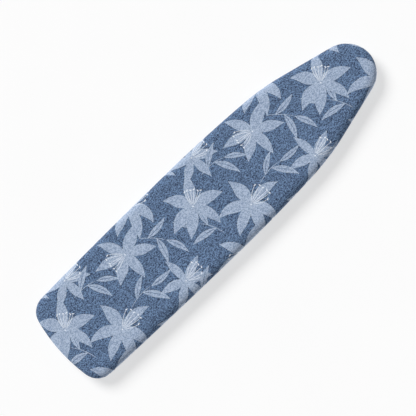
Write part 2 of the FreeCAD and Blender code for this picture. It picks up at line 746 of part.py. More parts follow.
def make_carriage():
    """A moulded block that slides on the guide rod, with a fork for the lever."""
    body = box("block_body", (SLIDER + " - block_back", SLIDER + " + block_front"),
               ("0 - block_half", "block_half"), ("block_bottom_z", "block_top_z"))
    fork = box("block_fork", (SLIDER + " + fork_start", SLIDER + " + fork_end"),
               ("0 - fork_half", "fork_half"), ("fork_bottom_z", "fork_top_z"))
    fork_gap = box("block_fork_gap", (SLIDER + " + fork_root", SLIDER + " + fork_end + overshoot"),
                   ("0 - (fork_half - fork_arm)", "fork_half - fork_arm"), ("0", "fork_top_z + overshoot"))
    bore = rod("block_bore", "rod_radius + running_gap", (SLIDER + " - block_back - overshoot", "0", "rod_z"),
               "block_back + block_front + 2 * overshoot", ALONG_X)
    pin_hole = cross_rod("block_pin_hole", "pivot_radius", SLIDER, "leg_z", "block_half + overshoot")
    lever_x = SLIDER + " + lever_pivot_x"
    lever_hole = cross_rod("block_lever_hole", "lever_pin_radius", lever_x, "lever_pivot_z",
                           "fork_half + overshoot")
    node(cut("block", fuse("block_solid", body, fork), fork_gap, bore, pin_hole, lever_hole),
         "carriage_block")
    face = "(inner_tube_y + tube_radius + washer_gap)"
    shank = cross_rod("carriage_pin_shank", "pivot_radius", SLIDER, "leg_z", face)
    heads = [rod("carriage_pin_head_%s" % side, "pin_head_radius",
                 (SLIDER, face if sign > 0 else "0 - %s - pin_head" % face, "leg_z"), "pin_head", ALONG_Y)
             for side, sign in sides()]
    node(fuse("carriage_pin_solid", shank, *heads), "carriage_pin")
    lever_shank = cross_rod("lever_pin_shank", "lever_pin_radius", lever_x, "lever_pivot_z", "fork_half")
    lever_heads = [rod("lever_pin_head_%s" % side, "rivet_head_radius",
                       (lever_x, "fork_half" if sign > 0 else "0 - fork_half - rivet_head",
                        "lever_pivot_z"), "rivet_head", ALONG_Y)
                   for side, sign in sides()]
    node(fuse("lever_pin_solid", lever_shank, *lever_heads), "lever_pin")


def make_spring():
    """The short coil round the guide rod that keeps the jam plate tilted, as plain turns."""
    turns = []
    for number in range(int(size("spring_turns"))):
        turn = DOC.addObject("Part::Torus", "spring_turn_%d" % number)
        bind(turn, "Radius1", "spring_radius")
        bind(turn, "Radius2", "spring_wire")
        x = SLIDER + " + block_front + spring_seat + %d * spring_pitch" % number
        turns.append(place(turn, x, "0", "rod_z", turn=Rotation(UP, ALONG_X)))
    group("jam_spring", *turns)


def swing(thing):
    """Move a lever piece from its pivot at the origin to its resting tilt on the carriage."""
    turn = Rotation(ALONG_Y, -size("lever_tilt"))
    return place(thing, SLIDER + " + lever_pivot_x", "0", "lever_pivot_z", turn=turn)


def make_lever():
    """The jam plate with its pivot eye, and the wire handle welded to its front."""
    plate = box("jam_blade", ("0 - jam_thickness / 2", "jam_thickness / 2"), ("0 - jam_half", "jam_half"),
                ("0", "block_top_z - lever_pivot_z"))
    eye = cross_rod("jam_eye", "jam_eye_radius", "0", "0", "jam_half")
    hole = cross_rod("jam_hole", "lever_pin_radius + running_gap", "0", "0", "jam_half + overshoot")
    slot = box("jam_slot", ("0 - jam_thickness", "jam_thickness"), ("0 - slot_half_width", "slot_half_width"),
               ("rod_z - lever_pivot_z - slot_half_height", "rod_z - lever_pivot_z + slot_half_height"))
    node(swing(cut("jam_blade_cut", fuse("jam_solid", plate, eye), hole, slot)), "jam_plate")

    body = DOC.addObject("PartDesign::Body", "wire_handle")
    path = new_sketch(body, "wire_path", "XY_Plane", "wire_rise")
    x = size("jam_thickness") / 2 + size("wire_radius")
    bend = size("wire_bend")
    start = Vector(x, -size("slot_half_width") - size("wire_root"), 0)
    turn_centre = Vector(x + bend, -size("wire_reach") + bend, 0)
    tip = Vector(x + size("wire_forward"), -size("wire_reach"), 0)
    path.addGeometry(Part.LineSegment(start, Vector(x, turn_centre.y, 0)))
    path.addGeometry(Part.ArcOfCircle(Part.Circle(turn_centre, UP, bend), math.pi, 1.5 * math.pi))
    path.addGeometry(Part.LineSegment(Vector(turn_centre.x, tip.y, 0), tip))
    path.addConstraint(Sketcher.Constraint("Vertical", 0))
    path.addConstraint(Sketcher.Constraint("Horizontal", 2))
    path.addConstraint(Sketcher.Constraint("Tangent", 0, 2, 1, 1))
    path.addConstraint(Sketcher.Constraint("Tangent", 1, 2, 2, 1))
    constrain(path, "start_x", "DistanceX", (-1, 1, 0, 1), x, "jam_thickness / 2 + wire_radius")
    constrain(path, "start_y", "DistanceY", (0, 1, -1, 1), -start.y, "slot_half_width + wire_root")
    constrain(path, "bend", "Radius", (1,), bend, "wire_bend")
    constrain(path, "reach", "DistanceY", (2, 2, -1, 1), -tip.y, "wire_reach")
    constrain(path, "forward", "DistanceX", (-1, 1, 2, 2), tip.x,
              "jam_thickness / 2 + wire_radius + wire_forward")
    section = new_sketch(body, "wire_section", "XZ_Plane", "slot_half_width + wire_root")
    section.addGeometry(Part.Circle(Vector(x, size("wire_rise"), 0), UP, size("wire_radius")))
    constrain(section, "across", "DistanceX", (-1, 1, 0, 3), x, "jam_thickness / 2 + wire_radius")
    constrain(section, "rise", "DistanceY", (-1, 1, 0, 3), size("wire_rise"), "wire_rise")
    constrain(section, "radius", "Radius", (0,), size("wire_radius"), "wire_radius")
    pipe = body.newObject("PartDesign::AdditivePipe", "wire_pipe")
    pipe.Profile = section
    pipe.Spine = (path, [])
    node(swing(body), "release_wire")

    tip_x = "(jam_thickness / 2 + wire_radius + wire_forward)"
    sleeve = rod("grip_sleeve", "grip_radius", (tip_x + " - grip_length", "0 - wire_reach", "wire_rise"),
                 "grip_length + grip_end", ALONG_X)
    socket = rod("grip_socket", "wire_radius",
                 (tip_x + " - grip_length - overshoot", "0 - wire_reach", "wire_rise"),
                 "grip_length + overshoot", ALONG_X)
    node(swing(cut("grip_tube", sleeve, socket)), "release_grip")


def write_parts():
    """Check every object and every finished piece, then write one file for each piece."""
    DOC.recompute()
    failed = [thing.Name for thing in DOC.Objects
              if "Invalid" in thing.State or "Error" in thing.State]
    if failed:
        raise RuntimeError("objects that failed: " + ", ".join(failed))
    os.makedirs("parts", exist_ok=True)
    for piece in NODES:
        if piece.Shape.isNull() or not piece.Shape.isValid():
            raise RuntimeError("not a valid shape: " + piece.Label)
        piece.Shape.exportStep("parts/%s.step" % piece.Label)


fill_sheet()
make_cover()
node(ring("elastic_cord", "elastic_inset", "hem_z", "elastic_radius"), "hem_elastic")
make_pad()
make_deck()
make_underside()
make_outer_leg()
make_inner_leg()
make_carriage()
make_spring()
make_lever()
write_parts()
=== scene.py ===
import copy
import json
import math
import random

import bpy
import numpy as np
from mathutils import Matrix, Vector
from mathutils.geometry import delaunay_2d_cdt
from mathutils.kdtree import KDTree

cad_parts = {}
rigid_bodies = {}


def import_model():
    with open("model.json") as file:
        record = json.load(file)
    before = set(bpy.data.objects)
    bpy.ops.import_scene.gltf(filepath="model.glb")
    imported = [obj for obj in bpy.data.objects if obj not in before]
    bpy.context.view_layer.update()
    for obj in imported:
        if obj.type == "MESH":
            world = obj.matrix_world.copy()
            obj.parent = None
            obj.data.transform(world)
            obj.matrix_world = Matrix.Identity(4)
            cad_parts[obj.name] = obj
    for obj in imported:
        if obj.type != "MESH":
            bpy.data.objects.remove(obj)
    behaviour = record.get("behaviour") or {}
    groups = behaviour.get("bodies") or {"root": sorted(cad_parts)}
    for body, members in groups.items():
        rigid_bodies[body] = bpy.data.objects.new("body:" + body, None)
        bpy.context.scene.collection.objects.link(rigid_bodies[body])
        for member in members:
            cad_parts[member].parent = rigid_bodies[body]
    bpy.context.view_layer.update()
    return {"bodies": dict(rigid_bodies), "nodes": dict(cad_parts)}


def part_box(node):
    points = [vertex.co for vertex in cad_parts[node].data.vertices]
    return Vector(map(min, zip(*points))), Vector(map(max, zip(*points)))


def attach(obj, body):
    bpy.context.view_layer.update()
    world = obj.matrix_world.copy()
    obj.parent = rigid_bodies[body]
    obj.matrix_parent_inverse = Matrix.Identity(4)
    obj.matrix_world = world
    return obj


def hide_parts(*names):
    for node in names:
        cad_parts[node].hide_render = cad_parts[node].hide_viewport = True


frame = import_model()

# An ironing board, folded flat, with a printed cotton cover gathered under its rim by an
# elastic hem. Metres, in the frame's axes: +X to the nose, +Y left, +Z up.

COVER_LOW, COVER_HIGH = (Vector(corner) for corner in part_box("cover"))
HALF_LENGTH = (COVER_HIGH.x - COVER_LOW.x) / 2
HALF_WIDTH = (COVER_HIGH.y - COVER_LOW.y) / 2

# the covered top's outline, as tangent arcs from the nose tip to the middle of the tail
NOSE_RADIUS = 0.100
FLANK_ANGLE = math.radians(14.8)
SHOULDER_RADIUS = 0.807
BELLY_RADIUS = 5.106
WIDEST_X = -0.047
TAPER_RADIUS = 20.0
TAIL_CORNER_RADIUS = 0.062
TAIL_RADIUS = 0.625

# the cloth's way round the rim: over a soft edge, down, under, back in, and round the elastic
EDGE_REACH = 0.030
EDGE_DROP = 0.014
BOTTOM_ROUND = 0.006
HEM_INSET = 0.0362
CASING_INSET = 0.0388
CASING_HEIGHT = 0.0344
CASING_RADIUS = 0.0028
CASING_START = math.radians(-21)
CASING_END = math.radians(-330)
GATHER_START_INSET = 0.0155
GATHER_HEIGHT = 0.0062
GATHER_CUT = 0.88
GATHERS = 172
SMALL_GATHERS = 97
GATHER_SEED = 5
SIDE_PUCKER = 0.0006
CASING_RIPPLE = 0.0011
TOP_SWELL = 0.0003
MOST_FULLNESS = 0.42
SLACK_FULLNESS = 0.15
FULLNESS_SHARE = 0.3
FULLNESS_LEAD = 0.008
FULLNESS_RISE = 0.018
HEM_ROWS = 15
HEM_OVERLAP = 0.010
HEM_FRAMES = 24
HEM_CLOTH = {
    "quality": 6, "mass": 0.1, "tension_stiffness": 12, "compression_stiffness": 12,
    "shear_stiffness": 4, "bending_stiffness": 0.03, "tension_damping": 4, "compression_damping": 4,
    "shear_damping": 4, "bending_damping": 0.4, "air_damping": 4, "pin_stiffness": 1,
    "vertex_group_mass": "held", "vertex_group_shrink": "snug", "shrink_min": -MOST_FULLNESS,
    "shrink_max": 0,
}
RIM_UNDERSIDE = 0.035
BAR_CLEARANCE = 0.0068
RIM_INNER_INSET = 0.013
RIM_TO_BARS = 0.007
CAP_CLEAR_HEIGHT = 0.0314
CLOTH_THICKNESS = 0.0012
CLOTH_STEP = 0.010
HEM_STEP = 0.0032
EDGE_ROW_GAP = 0.003
HEM_ROW_GAP = 0.0023
HEX_ROW = 0.866

# the felt under it, the elastic and stitches in its hem, and the spring's wire
FELT_INSET = 0.006
FELT_STEP = 0.008
FELT_EDGE_STEP = 0.006
FELT_EDGE_DEPTHS = (0.0006, 0.002, 0.005, 0.009, 0.014)
FELT_EDGE_ROUND = 0.003
FELT_MIDDLE_HEIGHT = 0.0012
FELT_UNDERSIDE_DEPTH = 0.0010
FELT_CLOTH_GAP = 0.0002
DIMPLE_DEPTH = 0.00015
DIMPLE_RATES = (131, 143)
DIMPLE_INSET = 0.012
CORD_RADIUS = 0.0017
CORD_UNEVENNESS = 0.06
CORD_STEP = 0.006
CORD_SIDES = 10
STITCH_GAP = 0.0042
STITCH_HALF = 0.0014
STITCH_DROP = 0.00035
STITCH_SAG = 0.0002
THREAD_RADIUS = 0.0003
SPRING_WIRE_RADIUS = 0.0007
SPRING_TURNS = 4.0
SPRING_STEPS = 120
SPRING_CLOSED_END = 0.12

# the floral print: a square tile turned by an eighth of a turn to the board
TILE_ACROSS = 0.402
TILE_UP = 0.4015
PRINT_ORIGIN = Vector((-0.0594, 0.0303))
PRINT_TURN = math.radians(-45)
LINE_WIDTH = 0.0013
PRINT_SEED = 11
SLUB_SIZE = (0.0040, 0.0022)
THREADS = 6600

GROUND, PETAL, LINE, WHITE = (0, 0, 0), (1, 0, 0), (1, 1, 0), (1, 1, 1)


def add_object(name, data):
    made = bpy.data.objects.new(name, data)
    bpy.context.scene.collection.objects.link(made)
    return made


# ---- outline --------------------------------------------------------------------------

def unit(angle):
    return Vector((math.cos(angle), math.sin(angle)))


def polar(centre, radius, angle):
    return centre + unit(angle) * radius


def circles_meet(centre_a, radius_a, centre_b, radius_b):
    """The meeting point of two circles that has the larger y and the smaller x."""
    gap = centre_b - centre_a
    along = (gap.length ** 2 + radius_a ** 2 - radius_b ** 2) / (2 * gap.length)
    across = math.sqrt(radius_a ** 2 - along ** 2)
    unit = gap.normalized()
    normal = Vector((-unit.y, unit.x))
    foot = centre_a + unit * along
    return max((foot + normal * across, foot - normal * across), key=lambda point: point.y - point.x)


def outline_arcs():
    """Centre, radius, start and end angle of each arc, all the way round."""
    nose_end = math.pi / 2 - FLANK_ANGLE
    nose = Vector((HALF_LENGTH - NOSE_RADIUS, 0))
    belly = Vector((WIDEST_X, HALF_WIDTH - BELLY_RADIUS))
    taper = Vector((WIDEST_X, HALF_WIDTH - TAPER_RADIUS))
    tail = Vector((TAIL_RADIUS - HALF_LENGTH, 0))
    outward = unit(nose_end)
    reach = nose.dot(outward) + NOSE_RADIUS - SHOULDER_RADIUS - belly.dot(outward)
    shoulder_gap = BELLY_RADIUS - SHOULDER_RADIUS
    shoulder_end = nose_end + math.acos(reach / shoulder_gap)
    shoulder = polar(belly, shoulder_gap, shoulder_end)
    corner = circles_meet(taper, TAPER_RADIUS - TAIL_CORNER_RADIUS, tail, TAIL_RADIUS - TAIL_CORNER_RADIUS)
    corner_start = math.atan2(corner.y - taper.y, corner.x - taper.x)
    corner_end = math.atan2(corner.y, corner.x - tail.x)
    left = [
        (nose, NOSE_RADIUS, 0, nose_end),
        (shoulder, SHOULDER_RADIUS, nose_end, shoulder_end),
        (belly, BELLY_RADIUS, shoulder_end, math.pi / 2),
        (taper, TAPER_RADIUS, math.pi / 2, corner_start),
        (corner, TAIL_CORNER_RADIUS, corner_start, corner_end),
        (tail, TAIL_RADIUS, corner_end, math.pi),
    ]
    right = [(Vector((centre.x, -centre.y)), radius, -end, -start)
             for centre, radius, start, end in reversed(left)]
    return left + right


ARCS = outline_arcs()


def walk_outline(inset, step):
    """Points and outward normals about a step apart along the inset outline, anticlockwise."""
    points, normals = [], []
    last = None
    for centre, radius, start, end in ARCS:
        first = polar(centre, radius - inset, start)
        if last is not None and (first - last).length > step:
            count = round((first - last).length / step)
            points += [last.lerp(first, index / count) for index in range(1, count)]
            normals += [unit(start)] * (count - 1)
        count = max(1, round((radius - inset) * (end - start) / step))
        for index in range(count):
            angle = start + (end - start) * index / count
            points.append(polar(centre, radius - inset, angle))
            normals.append(unit(angle))
        last = polar(centre, radius - inset, end)
    return points, normals


# ---- the print ------------------------------------------------------------------------

class Blade:
    """A petal, leaf, line or dot: a bending midrib with a width that swells and closes."""

    # half-width at the root as a share, place of the widest part, and how blunt the tip is
    SHAPES = {"petal": (0.36, 0.46, 1.15), "leaf": (0.03, 0.42, 1.05), "line": (0.6, 0.3, 0.35),
              "dot": (0.0, 0.5, 0.5)}

    def __init__(self, start, heading, length, width, bend=0.0, shape="petal", ink=PETAL, steps=16):
        self.ink = ink
        self.width = width
        self.length = length
        self.rib = [Vector(start)]
        self.sides = []
        self.half_widths = []
        for index in range(steps + 1):
            share = index / steps
            angle = math.radians(heading + bend * share ** 1.5)
            if index:
                before = math.radians(heading + bend * ((index - 0.5) / steps) ** 1.5)
                self.rib.append(self.rib[-1] + unit(before) * length / steps)
            self.sides.append(Vector((-math.sin(angle), math.cos(angle))))
            waver = 1 + 0.05 * math.sin(9 * share + heading) if shape == "petal" else 1
            self.half_widths.append(width / 2 * self.swell(share, *self.SHAPES[shape]) * waver)

    @staticmethod
    def swell(share, root, widest, bluntness):
        """The half-width as a share of the widest, some share of the way along."""
        if share < widest:
            return root + (1 - root) * math.sin(math.pi / 2 * share / widest)
        return math.cos(math.pi / 2 * (share - widest) / (1 - widest)) ** bluntness if share < 1 else 0

    def outline(self, narrower=0.0):
        """The closed outline, anticlockwise, or None where nothing is left of it."""
        kept = [index for index, half in enumerate(self.half_widths) if half > narrower]
        if len(kept) < 3:
            return None
        first, last = kept[0], kept[-1]
        start = self.rib[first] + (self.rib[first] - self.rib[first + 1]) * 0.3
        end = self.rib[last] + (self.rib[last] - self.rib[last - 1]) * 0.3
        if narrower == 0:
            start = self.rib[0] if first else start
            end = self.rib[-1]
        right = [self.rib[index] - self.sides[index] * (self.half_widths[index] - narrower)
                 for index in kept]
        left = [self.rib[index] + self.sides[index] * (self.half_widths[index] - narrower)
                for index in reversed(kept)]
        return [start] + right + [end] + left

    def placed(self, move):
        """The same blade with every point moved to the cloth by a function."""
        moved = copy.copy(self)
        turn = Matrix.Rotation(PRINT_TURN, 2)
        moved.rib = [move(point) for point in self.rib]
        moved.sides = [turn @ side for side in self.sides]
        return moved


# flowers: place in the tile, petal length, heading of the first petal, droop, heading of the stamens
FLOWERS = (((0.00, 0.00), 0.112, 38, 44, 94), ((0.46, 0.61), 0.110, 22, 24, 214),
           ((0.47, 0.01), 0.116, 56, 62, 50), ((0.97, 0.40), 0.088, 76, 20, 46))
# sprigs: place in the tile, heading and bend of the stem
SPRIGS = (((0.57, 0.74), 6, -22), ((0.54, 0.19), 62, -34), ((0.06, 0.26), 52, -34), ((0.26, 0.79), 150, 30))
TILE_RANGE = range(-4, 4)
HEADING_SPREAD = (-8, 8)
MIDRIB_WIDTH = 0.0011
PETALS = 6
PETAL_LENGTHS = (0.92, 1.08)
PETAL_WIDTHS = (0.30, 0.37)
STAMENS = 6
STAMEN_FAN = 15
STAMEN_START = 0.010
STAMEN_LENGTHS = (0.044, 0.060)
STAMEN_WIDTH = 0.0016
ANTHER_TURNS = (-62, 58)
ANTHER_LENGTH = 0.010
ANTHER_WIDTH = 0.0036
ANTHER_BACK = 0.0045
CENTRE_DOT = 0.0048
STEM_LENGTH = 0.092
STEM_WIDTH = 0.0018
# leaves: share of the stem's length, and turn from its heading
LEAF_PLACES = ((0.34, 46), (0.62, -44), (1.0, 4))
LEAF_LENGTHS = (0.072, 0.098)
LEAF_WIDTH_SHARE = 0.23
LEAF_BENDS = (-26, 22)
LEAF_MIDRIB_WIDTH = 0.0019


def draw_flower(centre, size, first, droop, stamen_heading, dice):
    """Petals that droop to either side, each with a midrib, and stamens with their anthers."""
    blades = []
    for index in range(PETALS):
        heading = first + 360 / PETALS * index + dice.uniform(*HEADING_SPREAD)
        length = size * dice.uniform(*PETAL_LENGTHS)
        width = size * dice.uniform(*PETAL_WIDTHS)
        bend = -droop * math.cos(math.radians(heading)) + dice.uniform(*HEADING_SPREAD)
        blades.append(Blade(centre, heading, length, width, bend))
        blades.append(Blade(centre, heading, length * 0.72, MIDRIB_WIDTH, bend * 0.6, "line", LINE))
    for index in range(STAMENS):
        fan = (index - (STAMENS - 1) / 2) * STAMEN_FAN + dice.uniform(-4, 4)
        heading = stamen_heading + fan
        start = centre + unit(math.radians(heading)) * STAMEN_START
        length = dice.uniform(*STAMEN_LENGTHS)
        filament = Blade(start, heading, length, STAMEN_WIDTH, -fan * 0.7, "line", WHITE, steps=8)
        across = heading + dice.choice(ANTHER_TURNS)
        back = filament.rib[-1] - unit(math.radians(across)) * ANTHER_BACK
        anther = Blade(back, across, ANTHER_LENGTH, ANTHER_WIDTH, 20, "leaf", WHITE, steps=6)
        blades += [filament, anther]
    start = centre - Vector((CENTRE_DOT / 2, 0))
    blades.append(Blade(start, 0, CENTRE_DOT, CENTRE_DOT, 0, "dot", WHITE, steps=8))
    return blades


def draw_sprig(start, heading, bend, dice):
    """A thin stem with a leaf to each side and one at its end."""
    stem = Blade(start, heading, STEM_LENGTH, STEM_WIDTH, bend, "line", LINE)
    blades = [stem]
    for share, turn in LEAF_PLACES:
        point = stem.rib[round(share * (len(stem.rib) - 1))]
        leaf_heading = heading + bend * share + turn + dice.uniform(*HEADING_SPREAD)
        length = dice.uniform(*LEAF_LENGTHS)
        leaf_bend = dice.choice(LEAF_BENDS)
        root = point + unit(math.radians(leaf_heading)) * length * 0.1
        leaf = Blade(point, leaf_heading, length, length * LEAF_WIDTH_SHARE, leaf_bend, "leaf")
        midrib = Blade(root, leaf_heading, length * 0.7, LEAF_MIDRIB_WIDTH, leaf_bend * 0.7, "line", GROUND)
        blades += [leaf, midrib]
    return blades


def draw_tile():
    """Every blade of one tile, lowest first, in the print's own axes."""
    dice = random.Random(PRINT_SEED)
    blades = []
    for (across, up), heading, bend in SPRIGS:
        blades += draw_sprig(Vector((across * TILE_ACROSS, up * TILE_UP)), heading, bend, dice)
    for (across, up), size, first, droop, stamen_heading in FLOWERS:
        centre = Vector((across * TILE_ACROSS, up * TILE_UP))
        blades += draw_flower(centre, size, first, droop, stamen_heading, dice)
    return blades


def print_blades(reach_x, reach_y):
    """The tile's blades repeated over the whole cloth, in cloth coordinates."""
    tile = draw_tile()
    turn = Matrix.Rotation(PRINT_TURN, 2)
    placed = []
    for column in TILE_RANGE:
        for row in TILE_RANGE:
            corner = Vector((column * TILE_ACROSS, row * TILE_UP))

            def move(point, corner=corner):
                return PRINT_ORIGIN + turn @ (point + corner)

            for blade in tile:
                moved = blade.placed(move)
                middle = moved.rib[len(moved.rib) // 2]
                if abs(middle.x) < reach_x + blade.length and abs(middle.y) < reach_y + blade.length:
                    placed.append(moved)
    return placed


# ---- the cover ------------------------------------------------------------------------

def arc_points(centre, reach, rise, start, end, count=40):
    """Points on an ellipse's arc, as inset from the outline and height."""
    return [(centre[0] - reach * math.cos(start + (end - start) * index / count),
             centre[1] + rise * math.sin(start + (end - start) * index / count))
            for index in range(count + 1)]


def cloth_profile():
    """The cloth's section across the rim as insets, heights and the travel along it."""
    top, bottom = COVER_HIGH.z, COVER_LOW.z
    points = arc_points((EDGE_REACH, top - EDGE_DROP), EDGE_REACH, EDGE_DROP, math.pi / 2, 0)
    points += arc_points((BOTTOM_ROUND, bottom + BOTTOM_ROUND), BOTTOM_ROUND, BOTTOM_ROUND, 0, -math.pi / 2)
    points += arc_points((CASING_INSET, CASING_HEIGHT), CASING_RADIUS, CASING_RADIUS,
                         CASING_START, CASING_END)
    insets, heights = np.array(points).T
    travels = np.r_[0, np.cumsum(np.hypot(np.diff(insets), np.diff(heights)))]
    return insets, heights, travels


INSETS, HEIGHTS, TRAVELS = cloth_profile()
CLOTH_REACH = TRAVELS[-1]
CASING_TRAVEL = CLOTH_REACH - CASING_RADIUS * (CASING_START - CASING_END)
RETURN_TRAVEL = CASING_TRAVEL - (HEM_INSET - BOTTOM_ROUND)
GATHER_TRAVEL = RETURN_TRAVEL + GATHER_START_INSET - BOTTOM_ROUND


def wrap_profile(travel):
    """Offset outwards from the flat top's edge, and height, after some travel over the edge."""
    if travel <= 0:
        return travel, COVER_HIGH.z
    inset = float(np.interp(travel, TRAVELS, INSETS))
    return EDGE_REACH - inset, float(np.interp(travel, TRAVELS, HEIGHTS))


class Rim:
    """Finds the nearest place on the flat top's edge, and how far beyond it a point is."""

    def __init__(self):
        self.points, self.normals = walk_outline(EDGE_REACH, 0.0008)
        self.along = [0.0]
        for first, second in zip(self.points, self.points[1:]):
            self.along.append(self.along[-1] + (second - first).length)
        self.length = self.along[-1] + (self.points[0] - self.points[-1]).length
        self.tree = KDTree(len(self.points))
        for index, point in enumerate(self.points):
            self.tree.insert((point.x, point.y, 0), index)
        self.tree.balance()

    def locate(self, point):
        _, index, _ = self.tree.find((point[0], point[1], 0))
        base, normal = self.points[index], self.normals[index]
        return base, normal, (Vector(point[:2]) - base).dot(normal), self.along[index]


def gather_wave(along, length, phases):
    """Height from 0 to 1 of the hem's gathers at one place round the rim."""
    turns = 2 * math.pi * along / length
    drift = sum(size * math.sin(rate * turns + phase) for size, rate, phase in phases)
    wave = math.sin(GATHERS * turns + drift)
    smaller = math.sin(SMALL_GATHERS * turns + 1.7 * drift + 1.0)
    return 0.5 + 0.34 * wave + 0.16 * smaller


def staggered_points(rim, step, furthest):
    """A field of points in staggered rows, up to a distance beyond the flat top's edge."""
    rows = int(HALF_WIDTH / (step * HEX_ROW))
    columns = int(HALF_LENGTH / step)
    grid = [Vector(((column + 0.5 * (row % 2)) * step, row * step * HEX_ROW))
            for row in range(-rows, rows + 1) for column in range(-columns, columns + 1)]
    return [point for point in grid if rim.locate(point)[2] < furthest]


def cloth_points(rim):
    """The points that the cloth is meshed from: rows round the edge and a staggered field."""
    points = []
    for travel in np.r_[np.arange(0.0, RETURN_TRAVEL, EDGE_ROW_GAP),
                        np.arange(RETURN_TRAVEL, CLOTH_REACH - 0.001, HEM_ROW_GAP)]:
        row, normals = walk_outline(EDGE_REACH, HEM_STEP if travel > RETURN_TRAVEL else HEM_STEP * 1.6)
        points += [base + normal * travel for base, normal in zip(row, normals)]
    return points + staggered_points(rim, CLOTH_STEP, -EDGE_ROW_GAP)


def blade_coordinates(blade, points):
    """How far along and across a blade each point lies, for its veins."""
    rib = np.array([tuple(point) for point in blade.rib])
    sides = np.array([tuple(side) for side in blade.sides])
    gaps = points[:, None, :] - rib[None, :, :]
    nearest = np.argmin((gaps ** 2).sum(axis=2), axis=1)
    across = (gaps[np.arange(len(points)), nearest] * sides[nearest]).sum(axis=1)
    return nearest / (len(rib) - 1), across / (blade.width / 2)


def cut_cloth(rim):
    """Flat cloth cut into triangles along the print's outlines, with what each one shows."""
    edge, normals = walk_outline(EDGE_REACH, HEM_STEP)
    hem = [base + normal * CLOTH_REACH for base, normal in zip(edge, normals)]
    points = list(hem)
    polygons = [list(range(len(hem)))]
    inks = [(GROUND, None)]
    for blade in print_blades(HALF_LENGTH + CLOTH_REACH, HALF_WIDTH + CLOTH_REACH):
        loops = [(blade.outline(), LINE if blade.ink == PETAL else blade.ink, None)]
        if blade.ink == PETAL:
            loops.append((blade.outline(LINE_WIDTH), PETAL, blade))
        for loop, ink, owner in loops:
            if loop is None:
                continue
            if all(rim.locate(point)[2] > CLOTH_REACH for point in loop):
                continue
            polygons.append(list(range(len(points), len(points) + len(loop))))
            points += loop
            inks.append((ink, owner))
    points += cloth_points(rim)
    flat, _, faces, _, _, sources = delaunay_2d_cdt(points, [], polygons, 0, 1e-6)
    flat = np.array([tuple(point) for point in flat])
    kept, shown = [], []
    for face, source in zip(faces, sources):
        if 0 in source:
            kept.append(face)
            shown.append(max(source))
    return flat, kept, [inks[number] for number in shown]


def gather_phases():
    """Size, rate and phase of the slow waves that make the gathers uneven round the board."""
    dice = random.Random(GATHER_SEED)
    return [(dice.uniform(0.8, 2.6), rate, dice.uniform(0, 6)) for rate in (3, 7, 13, 23, 41)]


def wrap_point(rim, phases, point):
    """Where a point of the flat cloth lies on the board."""
    base, normal, travel, along = rim.locate(point)
    if travel <= 0:
        swell = TOP_SWELL * (math.sin(point[0] * 23 + 1.3 * math.sin(point[1] * 31)) - 1)
        return point[0], point[1], COVER_HIGH.z + swell * min(1, -travel / 0.02)
    outwards, height = wrap_profile(travel)
    wave = gather_wave(along, rim.length, phases)
    if travel < CASING_TRAVEL:
        share = min(max((travel - GATHER_TRAVEL) / (CASING_TRAVEL - GATHER_TRAVEL), 0), 1)
        height += GATHER_HEIGHT * wave * math.sin(math.pi * share ** 1.4 * GATHER_CUT)
        pucker = math.sin(math.pi * min(travel / RETURN_TRAVEL, 1)) ** 2
        outwards -= SIDE_PUCKER * pucker * wave
    else:
        turn = (travel - CASING_TRAVEL) / CASING_RADIUS
        angle = CASING_START - turn
        ripple = CASING_RIPPLE * (wave - 0.5) * min(1, turn)
        outwards += ripple * math.cos(angle)
        height += ripple * math.sin(angle) + 0.0003
        height += GATHER_HEIGHT * wave * math.sin(math.pi * GATHER_CUT) * max(0, 1 - turn)
    spot = base + normal * outwards
    return spot.x, spot.y, height


def smooth_step(share):
    """0 up to 0, 1 from 1, and a smooth rise between them."""
    share = min(max(share, 0.0), 1.0)
    return share * share * (3 - 2 * share)


